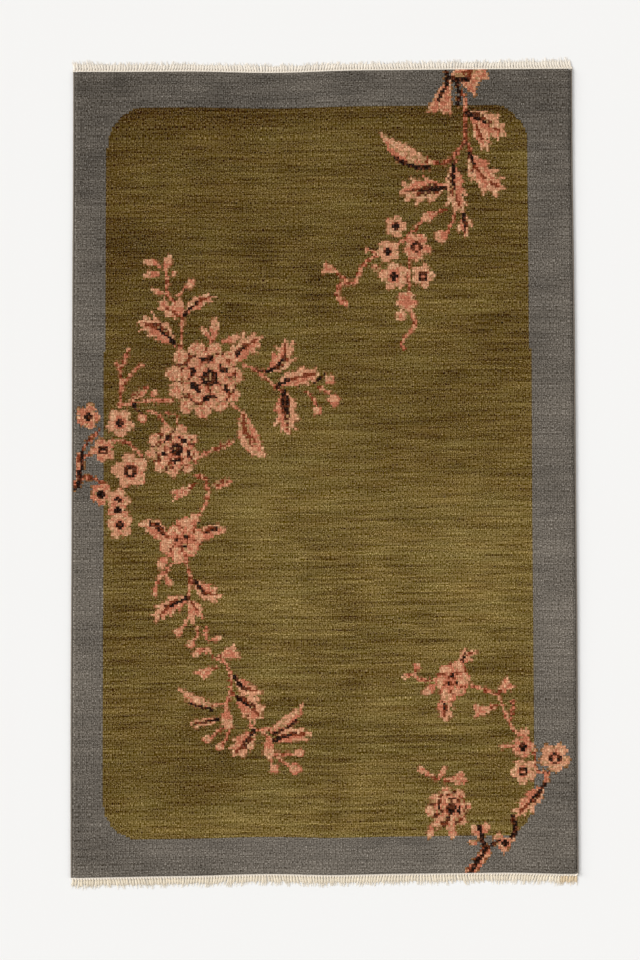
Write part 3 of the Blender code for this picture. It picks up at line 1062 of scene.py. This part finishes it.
def node(tree, kind, **settings):
    """A new node, with its settings."""
    made = tree.nodes.new(kind)
    for key, value in settings.items():
        setattr(made, key, value)
    return made


def maths(tree, operation, *values):
    """A Math node fed by sockets or numbers."""
    made = node(tree, "ShaderNodeMath", operation=operation)
    for socket, value in zip(made.inputs, values):
        if isinstance(value, (int, float)):
            socket.default_value = value
        else:
            tree.links.new(value, socket)
    return made.outputs[0]


def axes(tree, vector):
    """The three numbers of a vector."""
    split = node(tree, "ShaderNodeSeparateXYZ")
    tree.links.new(vector, split.inputs[0])
    return list(split.outputs)


def noise(tree, scale, detail, stretch=(1, 1, 1)):
    """Noise in the object's own metres, with this many cells to a metre."""
    spot = node(tree, "ShaderNodeTexCoord")
    mapping = node(tree, "ShaderNodeMapping")
    mapping.inputs["Scale"].default_value = stretch
    made = node(tree, "ShaderNodeTexNoise")
    made.inputs["Scale"].default_value = scale
    made.inputs["Detail"].default_value = detail
    tree.links.new(spot.outputs["Object"], mapping.inputs["Vector"])
    tree.links.new(mapping.outputs["Vector"], made.inputs["Vector"])
    return made.outputs["Fac"]


print("one knot in mm:", round(KNOT_WIDTH * 1000, 2), "by", round(KNOT_LENGTH * 1000, 2))

# %% [markdown]
# ## Wool: tufts and strands
#
# Each knot stands up as a small tuft, and the cut ends of its strands show as four spots
# that are a little lighter or darker than the knot. Both come from the pile's own plan,
# counted in knots, so that they fall exactly on the knots of the cartoon. A picture of
# wool laid over the rug would slide off them.

# %% Wool: tufts and strands
LONG_STRAND, LONG_DEPTH = 9, 0.45  # knots that one lighter strand runs on for, and its weight


def in_knots(tree):
    """The pile's plan, counted in knots."""
    plan_node = node(tree, "ShaderNodeUVMap", uv_map="OFBake")
    counted = node(tree, "ShaderNodeMapping")
    for axis, count in enumerate((KNOTS_ACROSS, KNOTS_ALONG)):
        scale = count / (1 - 2 * PLAN_MARGIN)
        counted.inputs["Scale"].default_value[axis] = scale
        counted.inputs["Location"].default_value[axis] = -PLAN_MARGIN * scale
    tree.links.new(plan_node.outputs["UV"], counted.inputs["Vector"])
    return counted.outputs["Vector"]


def by_cell(tree, vector, cell):
    """Three random values for each cell of this many knots, from -0.5 to 0.5."""
    scaled = node(tree, "ShaderNodeVectorMath", operation="MULTIPLY")
    scaled.inputs[1].default_value = (1 / cell[0], 1 / cell[1], 1)
    whole = node(tree, "ShaderNodeVectorMath", operation="FLOOR")
    white = node(tree, "ShaderNodeTexWhiteNoise", noise_dimensions="2D")
    tree.links.new(vector, scaled.inputs[0])
    tree.links.new(scaled.outputs[0], whole.inputs[0])
    tree.links.new(whole.outputs[0], white.inputs["Vector"])
    return [maths(tree, "SUBTRACT", value, 0.5) for value in axes(tree, white.outputs["Color"])]


def strand_ends(tree):
    """How far each of the four strand ends in a knot is lighter or darker than the knot.

    The four add up to nothing, so that the strands don't change the knot's own colour.
    """
    knots = in_knots(tree)
    side, end = [
        maths(tree, "SIGN", maths(tree, "SUBTRACT", maths(tree, "FRACT", value), 0.5))
        for value in axes(tree, knots)[:2]
    ]
    beside_way, along_way, across_way = by_cell(tree, knots, (1, 1))
    long_way = by_cell(tree, knots, (LONG_STRAND, 1))[0]
    long_way = maths(tree, "MULTIPLY", long_way, LONG_DEPTH)
    total = maths(tree, "MULTIPLY", beside_way, side)
    for value, way in ((along_way, end), (long_way, end)):
        total = maths(tree, "ADD", total, maths(tree, "MULTIPLY", value, way))
    checked = maths(tree, "MULTIPLY", across_way, maths(tree, "MULTIPLY", side, end))
    return maths(tree, "ADD", total, checked)


def tufts(tree):
    """One rounded tuft to each knot, from the pile's plan."""
    domes = [
        maths(tree, "SINE", maths(tree, "MULTIPLY", maths(tree, "FRACT", value), math.pi))
        for value in axes(tree, in_knots(tree))[:2]
    ]
    return maths(tree, "POWER", maths(tree, "MULTIPLY", *domes), 0.5)


print("a long strand in mm:", round(LONG_STRAND * KNOT_WIDTH * 1000))

# %% [markdown]
# ## Wool: the material
#
# A shader for wool needs three things besides its colour: single fibres make it mottled at
# about a millimetre, the tufts raise it, and the cut ends scatter light, so it is rough
# and has a faint sheen. On the pile the colour is also darkened between the tufts, as
# painted shade, and where the mottling is lighter a little white is added, as a painted
# sheen. The mottling is weaker on the border and the sprays than in the field, and the
# mesh says how strong it is at each knot, the painted shade and sheen with it.

# %% Wool: the material
STRAND_CURVE = 2.2  # light strands stand out further than dark ones
BETWEEN_TUFTS = 0.5, 0.64  # how much a tuft's height lights it, and the light between tufts
LIT_SHARE, PAINTED_SHEEN_SHARE = 0.72, 0.04  # of the mottling, as lighter or darker colour and as a painted white sheen
DARKEST = (0.002, 0.002, 0.0005)
SHEEN_ROUGHNESS, SPECULAR, BUMP_STRENGTH = 0.5, 0.03, 0.6
ROUGHNESS_RANGE, FIBRE_RELIEF = 0.1, 0.4


def yarn_material(
    name, roughness, sheen, fibre_scale, fibre_depth, relief, relief_depth, strand_depth=0
):
    """Yarn with its colour from the mesh, mottled by fibres and raised by a relief, with painted
    shade between tufts when strands are given and a painted white sheen.
    """
    material = bpy.data.materials.new(name)
    material.use_nodes = True
    tree = material.node_tree
    shader = tree.nodes["Principled BSDF"]
    tint = node(tree, "ShaderNodeAttribute", attribute_name="yarn")
    fibres = noise(tree, fibre_scale, 3)
    mottle_and_tuft_shade = maths(tree, "MULTIPLY_ADD", fibres, fibre_depth, 1 - fibre_depth / 2)
    height = relief(tree)
    if strand_depth:
        strand = maths(tree, "MULTIPLY_ADD", strand_ends(tree), strand_depth / STRAND_CURVE, 1.0)
        strand = maths(tree, "POWER", strand, STRAND_CURVE)
        # Painted shade: the colour is darker between the tufts, where a tuft is low.
        between = maths(tree, "MULTIPLY_ADD", height, *BETWEEN_TUFTS)
        mottle_and_tuft_shade = maths(tree, "MULTIPLY", maths(tree, "MULTIPLY", mottle_and_tuft_shade, strand), between)
    extra = maths(tree, "SUBTRACT", mottle_and_tuft_shade, 1.0)
    extra = maths(tree, "MULTIPLY", extra, tint.outputs["Alpha"])
    lit = maths(tree, "MULTIPLY_ADD", extra, LIT_SHARE, 1.0)
    # Painted sheen: a little white where the mottling is lighter, as if the cut fibre ends caught
    # the light.
    painted_sheen = maths(tree, "MULTIPLY", extra, PAINTED_SHEEN_SHARE)
    coloured = node(tree, "ShaderNodeVectorMath", operation="MULTIPLY_ADD")
    tree.links.new(tint.outputs["Color"], coloured.inputs[0])
    tree.links.new(lit, coloured.inputs[1])
    tree.links.new(painted_sheen, coloured.inputs[2])
    safe = node(tree, "ShaderNodeVectorMath", operation="MAXIMUM")
    safe.inputs[1].default_value = DARKEST
    tree.links.new(coloured.outputs[0], safe.inputs[0])
    tree.links.new(safe.outputs[0], shader.inputs["Base Color"])
    smoothest = roughness - ROUGHNESS_RANGE / 2
    rough = maths(tree, "MULTIPLY_ADD", fibres, ROUGHNESS_RANGE, smoothest)
    tree.links.new(rough, shader.inputs["Roughness"])
    shader.inputs["Sheen Weight"].default_value = sheen
    shader.inputs["Sheen Roughness"].default_value = SHEEN_ROUGHNESS
    shader.inputs["Specular IOR Level"].default_value = SPECULAR
    height = maths(tree, "ADD", height, maths(tree, "MULTIPLY", fibres, FIBRE_RELIEF))
    bump = node(tree, "ShaderNodeBump")
    bump.inputs["Strength"].default_value = BUMP_STRENGTH
    bump.inputs["Distance"].default_value = relief_depth
    tree.links.new(height, bump.inputs["Height"])
    tree.links.new(bump.outputs["Normal"], shader.inputs["Normal"])
    return material


pile_wool = yarn_material("wool_pile", 0.85, 0.01, 600, 0.6, tufts, 0.0009, strand_depth=0.9)
rug_pile = add_piece("rug_pile", pile_mesh, pile_wool, "pile_wool", "pile")
print("nodes in the pile's wool:", len(pile_wool.node_tree.nodes))

# %% [markdown]
# ## The back
#
# Turn a hand-knotted rug over and the pattern shows there too, row by row, because each
# knot wraps round its warps. The back is the same cartoon at half the count, in the same
# outline and facing the floor, with flat ribs in place of tufts. It is seen only when the
# rug is turned over or a corner is lifted, so half the count is enough.

# %% The back
BACK_HEIGHT, BACK_SHADE, BACK_COTTON = 0.0005, 0.85, 0.02
back_x, back_y, _ = rug_grid(KNOTS_ACROSS // 2, KNOTS_ALONG // 2)
back_z = np.full(back_x.shape, BACK_HEIGHT)
back_places = np.stack([back_x, back_y, back_z], axis=-1).reshape(-1, 3)
back_faces = grid_faces(*back_x.shape)[:, ::-1]
back_colour = (knot_colour[::2, ::2] * BACK_SHADE + BACK_COTTON).reshape(-1, 3)
across_share = np.linspace(0, 1, KNOTS_ACROSS // 2 + 1)
along_share = np.linspace(0, 1, KNOTS_ALONG // 2 + 1)
back_plan = np.stack(np.meshgrid(across_share, along_share), axis=-1).reshape(-1, 2)
back_mesh = yarn_mesh("rug_back", back_places, back_faces, back_colour, back_plan)


def ribs(tree):
    """Rows of flat knots, a little over 6 mm apart along the rug."""
    spot = node(tree, "ShaderNodeTexCoord").outputs["Object"]
    turns = 2 * math.pi / KNOT_WIDTH, math.pi / KNOT_LENGTH
    waves = [
        maths(tree, "ABSOLUTE", maths(tree, "SINE", maths(tree, "MULTIPLY", value, turn)))
        for value, turn in zip(axes(tree, spot), turns)
    ]
    return maths(tree, "MULTIPLY", *waves)


back_wool = yarn_material("wool_back", 0.9, 0.05, 500, 0.3, ribs, 0.001)
rug_back = add_piece("rug_back", back_mesh, back_wool, "pile_wool", "pile")
print("back:", len(back_mesh.polygons), "faces")

# %% [markdown]
# ## The overcast sides
#
# At each side the last warps are bound round and round with grey wool. A smooth tube
# with a bump would look right from above, but its outline would be dead straight. So the
# tube is a mesh whose radius rises and falls along a helix, one turn of yarn every 4 mm.

# %% The overcast sides
WRAP_PITCH, RINGS_A_WRAP, SIDES_OF_CORD = 0.004, 4, 8
WRAP_DEPTH, SLACK, CORD_INSET = 0.00028, 0.00018, 0.0001
SIDE_GREY = dyed(128, 119, 108)


def tube(line, radii, sides, around_wave=None):
    """Places and faces of a tube along a line in the plan, closed at its ends."""
    line = np.asarray(line, float)
    way = np.gradient(line, axis=0)
    way /= np.linalg.norm(way, axis=1)[:, None]
    left = np.stack([-way[:, 1], way[:, 0], np.zeros(len(way))], axis=-1)
    left /= np.linalg.norm(left, axis=1)[:, None]
    up = np.cross(way, left)
    up *= np.sign(up[:, 2:3])
    angle = np.arange(sides) * 2 * np.pi / sides
    reach = np.broadcast_to(np.asarray(radii)[:, None], (len(line), sides)).copy()
    if around_wave is not None:
        reach += around_wave(np.arange(len(line))[:, None], angle[None, :])
    rings = line[:, None, :] + reach[..., None] * (
        np.cos(angle)[None, :, None] * left[:, None, :]
        + np.sin(angle)[None, :, None] * up[:, None, :]
    )
    index = np.arange(len(line) * sides).reshape(len(line), sides)
    following = np.roll(index, -1, axis=1)
    quads = np.stack([index[:-1], index[1:], following[1:], following[:-1]], axis=-1)
    return rings.reshape(-1, 3), quads.reshape(-1, 4), (index[0], index[-1, ::-1])


def wraps(ring, angle):
    """How far the cord's surface is out at a ring and an angle, between its wraps."""
    return -WRAP_DEPTH * (1 - np.abs(np.cos(np.pi * ring / RINGS_A_WRAP + angle / 2)))


def overcast_side(name, side, solid):
    """A cord of wraps along one side, 1 for the right one and -1 for the left."""
    rings = int(PILE_LENGTH / WRAP_PITCH * RINGS_A_WRAP)
    along = np.linspace(0, 1, rings + 1)
    own = np.random.default_rng(40 + side)
    edge = np.full(len(along), 1.0 if side > 0 else 0.0)
    x, y = on_rug(edge, along, SELVEDGE / 2)
    line = np.stack([x, y, np.full(len(x), SELVEDGE / 2)], axis=-1)
    slack = np.interp(along, np.linspace(0, 1, 200), own.uniform(-1, 1, 200)) * SLACK
    radii = SELVEDGE / 2 - CORD_INSET + slack
    places, quads, ends = tube(line, radii, SIDES_OF_CORD, wraps)
    places[:, 2] = np.maximum(places[:, 2], 0.0)
    shade = 1 + 0.08 * own.standard_normal(len(quads) // SIDES_OF_CORD)
    cord_colour = np.repeat(shade, SIDES_OF_CORD)[:, None] * SIDE_GREY
    faces = [tuple(quad) for quad in quads] + [tuple(end) for end in ends]
    cord_colour = np.vstack([cord_colour, cord_colour[:1], cord_colour[-1:]])
    mesh = yarn_mesh(name, places, faces, cord_colour)
    return add_piece(name, mesh, side_wool, "selvedge_wool", solid)


def strands(tree):
    """Fine strands along the rug, for a yarn without a relief of its own."""
    return noise(tree, 900, 2, (1, 0.35, 1))


side_wool = yarn_material("wool_sides", 0.85, 0.1, 800, 0.35, strands, 0.0006)
side_left = overcast_side("overcast_left", -1, "selvedge_left")
side_right = overcast_side("overcast_right", 1, "selvedge_right")
print("wraps on each side:", int(PILE_LENGTH / WRAP_PITCH))

# %% [markdown]
# ## The cotton bands
#
# Before the first knots and after the last, the weaver throws a few rows of plain cotton
# weft to hold the pile. It shows as a narrow cream band at each end. Its mesh is a small
# relief: three wefts side by side, drawn together into one pale loop over every bunch of
# warps. Between one loop and the next is a small hollow, deepest at the outer edge, whose
# faces are painted darker and browner as shade. The band's hem, towards the floor, is
# painted darker as shade too.

# %% The cotton bands
BAND_WIDTH, BAND_THICKNESS, BAND_LIFT = 0.008, 0.0034, 0.0003
WEFTS, BUNCHES = 3, 179
HOLLOWS = (0, 0.35, 0.7, 1), (0.1, 0.15, 0.8, 1)  # share of the width, share of the depth
COTTON = dyed(238, 228, 213)


def rug_end(at_head):
    """Which way is outward at an end, half its width, and the name of its solid."""
    if at_head:
        return 1, HEAD_WIDTH / 2, "fringe_head"
    return -1, FOOT_WIDTH / 2, "fringe_foot"


def cotton_band(name, at_head, seed):
    """The woven band of one end, as a relief with a hem."""
    way, reach, solid = rug_end(at_head)
    own = np.random.default_rng(seed)
    share = np.linspace(0, 1, BUNCHES * 6 + 1)
    depth = np.linspace(0, 1, WEFTS * 3 + 1)
    share_grid, depth_grid = np.meshgrid(share, depth)
    x = (2 * share_grid - 1) * reach
    y = end_line(share_grid, at_head) + way * (GAP + BAND_WIDTH * depth_grid)
    round_weft = np.abs(np.sin(np.pi * depth_grid * WEFTS))
    loops = np.abs(np.sin(np.pi * share_grid * BUNCHES)) ** 0.7
    hollow = (1 - loops) * np.interp(depth_grid, *HOLLOWS)
    z = BAND_THICKNESS * (0.72 + 0.28 * round_weft) * (1 - 0.75 * hollow)
    top = np.stack([x, y, z], axis=-1).reshape(-1, 3)
    faces, loop = grid_faces(*x.shape), grid_edge(*x.shape)
    places, hem = skirt(top, loop, (BAND_LIFT,))
    if not at_head:
        faces, hem = faces[:, ::-1], hem[:, ::-1]
    middles = (hollow[:-1, :-1] + hollow[1:, 1:] + hollow[:-1, 1:] + hollow[1:, :-1]).ravel() / 4
    # Painted shade: the deeper a face lies in a hollow, the darker and browner it is tinted.
    tone = (1 + 0.05 * own.standard_normal(len(faces))) * (1.07 - 0.7 * middles)
    # Painted shade on the hem, the side of the band towards the floor.
    tone = np.append(tone, np.full(len(hem), 0.6))
    tint = COTTON * tone[:, None] ** (1, 1.08, 1.25)
    mesh = yarn_mesh(name, places, np.vstack([faces, hem]), tint)
    return add_piece(name, mesh, cotton, "warp_cotton", solid)


cotton = yarn_material("cotton_warps", 0.8, 0.1, 900, 0.2, strands, 0.0005)
band_head = cotton_band("band_head", True, 51)
band_foot = cotton_band("band_foot", False, 52)

# %% [markdown]
# ## The fringe
#
# The warps stay in small bunches where the wefts let them go, and their cut ends open out.
# Each bunch is a soft flat core with five thin tubes over it. It leaves the band narrow,
# with a small gap on each side, fills out, and drifts apart at its cut ends. The bunches
# lean one way for a stretch and the other way after it. At the foot the cotton is creamier,
# golden in its last few bunches, and one white end stands up loose at the right corner.
# Blender's hair would do it too, but tubes keep their thickness in any view and in the
# finished mesh, and there are only some two thousand of them.

# %% The fringe
WARPS_A_BUNCH, CORE_SIDES, WARP_SIDES = 5, 6, 4
WARP_RADII = 0.0007 * np.array([1.2, 1.1, 1.0, 0.95, 0.85, 0.65, 0.3])
WARP_LENGTHS = (0.75, 0.9, 1.1, 1.35)  # of the bunch's own length
WARP_REST, WARP_RISE = 0.0007, 0.0024  # heights at the cut end, and more at the band
CORE = ((0, 0.0026), (0.12, 0.0025), (0.28, 0.0037), (0.55, 0.0034), (0.85, 0.0008))
SPREAD = (0, 0.12, 0.28, 0.6, 1), (0.0052, 0.005, 0.0074, 0.0092, 0.0115)
CORE_HEIGHT, CORE_FLATNESS, CORE_SHADE = 0.0016, 0.55, 0.94
HEAD_FRINGE, HEAD_CORNERS, FOOT_FRINGE = 0.018, 0.004, 0.022
FRINGE_INSET, ROOT_DEPTH, ROOT_STRAY = 0.002, 0.001, 0.0007
LONG_LEAN, SHORT_LEAN, LEAN_STRAY, CURL = 0.005, 0.002, 0.0015, 0.001
CREAM, GOLDEN, GOLDEN_FROM = dyed(234, 221, 198), dyed(223, 201, 166), 0.965


def bunch(number, at_head, own, seed):
    """One bunch as tubes: the line, radii, sides, tone and flatness of each."""
    way, reach, _ = rug_end(at_head)
    share = (number + 0.5) / BUNCHES
    root_x = (2 * share - 1) * (reach - FRINGE_INSET) + own.uniform(-ROOT_STRAY, ROOT_STRAY)
    root_y = float(end_line(share, at_head)) + way * (GAP + BAND_WIDTH - ROOT_DEPTH)
    lean = LONG_LEAN * math.sin(0.11 * number + seed) + SHORT_LEAN * math.sin(0.56 * number)
    lean += own.uniform(-LEAN_STRAY, LEAN_STRAY)
    length = HEAD_FRINGE + HEAD_CORNERS * (2 * share - 1) ** 4 if at_head else FOOT_FRINGE
    length *= own.uniform(0.85, 1.12)
    breadth = own.uniform(0.85, 1.1)
    tone = (COTTON if at_head else CREAM) * (1 + 0.04 * own.standard_normal())
    if not at_head and share > GOLDEN_FROM:
        tone = GOLDEN * own.uniform(0.92, 1.05)
    core = [(root_x + lean * t, root_y + way * length * t, CORE_HEIGHT) for t, _ in CORE]
    core_radii = [radius for _, radius in CORE]
    tubes = [(np.array(core), core_radii, CORE_SIDES, tone * CORE_SHADE, CORE_FLATNESS)]
    t = np.linspace(0, 1, len(WARP_RADII))
    for warp in range(WARPS_A_BUNCH):
        spread = (warp - (WARPS_A_BUNCH - 1) / 2) / WARPS_A_BUNCH
        curl = own.uniform(-CURL, CURL) * np.sin(np.pi * 1.5 * t)
        x = root_x + spread * breadth * np.interp(t, *SPREAD) + lean * t + curl
        y = root_y + way * length * t * own.choice(WARP_LENGTHS)
        z = WARP_REST + WARP_RISE * (1 - t) ** 0.8 * (1 - 2 * spread**2)
        tubes.append((np.stack([x, y, z], axis=-1), WARP_RADII, WARP_SIDES, tone, 1.0))
    return tubes


def loose_end():
    """The end of a thick cotton thread that stands up at the foot's right corner."""
    corner = np.array([FOOT_WIDTH / 2 - 0.006, float(end_line(1, False)) - 0.004, 0.006])
    line = corner + np.array([(-0.004, -0.002, -0.003), (0, 0, 0), (0.003, 0.006, 0.007)])
    return line, (0.0012, 0.0016, 0.0009), CORE_SIDES, COTTON * 1.05, 1.0


def fringe(name, at_head, seed):
    """All the bunches of one end, as one mesh."""
    own = np.random.default_rng(seed)
    tubes = []
    for number in range(BUNCHES):
        tubes += bunch(number, at_head, own, seed)
    if not at_head:
        tubes.append(loose_end())
    places, faces, tints, start = [], [], [], 0
    for line, radii, sides, tone, flat in tubes:
        rings, quads, ends = tube(line, radii, sides)
        middle = line[0, 2]
        rings[:, 2] = np.maximum(middle + (rings[:, 2] - middle) * flat, 0)
        places.append(rings)
        faces += [tuple(face + start) for face in (*quads, *ends)]
        tints += [tone] * (len(quads) + len(ends))
        start += len(rings)
    mesh = yarn_mesh(name, np.vstack(places), faces, np.array(tints))
    return add_piece(name, mesh, cotton, "warp_cotton", rug_end(at_head)[2])


fringe_head = fringe("fringe_head_warps", True, 61)
fringe_foot = fringe("fringe_foot_warps", False, 62)
print("warps at each end:", BUNCHES * WARPS_A_BUNCH)

print("sheet:", rug_pile.name, "laid on the floor")

# %% [markdown]
# ## Floor, light and camera
#
# The rug lies on a pale floor that is almost white, with an even light all round, one
# broad soft light from the left and a weaker one from the right. Both are suns of a great
# width: a sun is equally bright all over, and its width makes the shadow beside the rug
# soft. The camera looks straight down from 5 m, tilted by less than a degree, as a camera
# on a stand is. A long lens keeps the sides nearly parallel.

# %% Floor, light and camera
FLOOR_REACH, FLOOR_WHITE = 8, (0.87, 0.863, 0.848, 1)
EVEN_LIGHT = 0.46
floor_mesh = bpy.data.meshes.new("floor")
floor_corners = [(-1, -1), (1, -1), (1, 1), (-1, 1)]
floor_places = [(FLOOR_REACH * x, FLOOR_REACH * y, 0) for x, y in floor_corners]
floor_mesh.from_pydata(floor_places, [], [(0, 1, 2, 3)])
floor = put_in_scene("floor", floor_mesh)
floor_paint = bpy.data.materials.new("pale_floor")
floor_paint.use_nodes = True
floor_shader = floor_paint.node_tree.nodes["Principled BSDF"]
floor_shader.inputs["Base Color"].default_value = FLOOR_WHITE
floor_shader.inputs["Roughness"].default_value = 0.9
floor_shader.inputs["Specular IOR Level"].default_value = 0.1
floor_mesh.materials.append(floor_paint)

world = bpy.data.worlds.new("even_light")
scene.world = world
world.use_nodes = True
background = world.node_tree.nodes["Background"]
background.inputs["Color"].default_value = (1, 1, 1, 1)
background.inputs["Strength"].default_value = EVEN_LIGHT


def soft_sun(name, strength, width, tilt, turn):
    """A broad sun. tilt leans it over to one side, turn towards the head or foot."""
    sun = bpy.data.lights.new(name, "SUN")
    sun.angle = math.radians(width)
    sun.energy = strength
    light = put_in_scene(name, sun)
    light.rotation_euler = (math.radians(turn), math.radians(tilt), 0.0)


SUN_WIDTH = 35
soft_sun("soft_key", 3.4, SUN_WIDTH, -63, -12)
soft_sun("soft_fill", 0.8, SUN_WIDTH, 62, 0)

CAMERA_PLACE = (-0.0347, -0.092, 5.0)
CAMERA_TILT = (0.767, -0.262, -0.135)  # degrees
LENS = 61.88
scene.view_settings.view_transform = "Standard"
camera = put_in_scene("camera", bpy.data.cameras.new("camera"))
camera.location = CAMERA_PLACE
camera.rotation_euler = [math.radians(angle) for angle in CAMERA_TILT]
camera.data.lens = LENS
camera.data.sensor_width = 36
scene.camera = camera
print("camera height in metres:", CAMERA_PLACE[2], "lens in mm:", LENS)
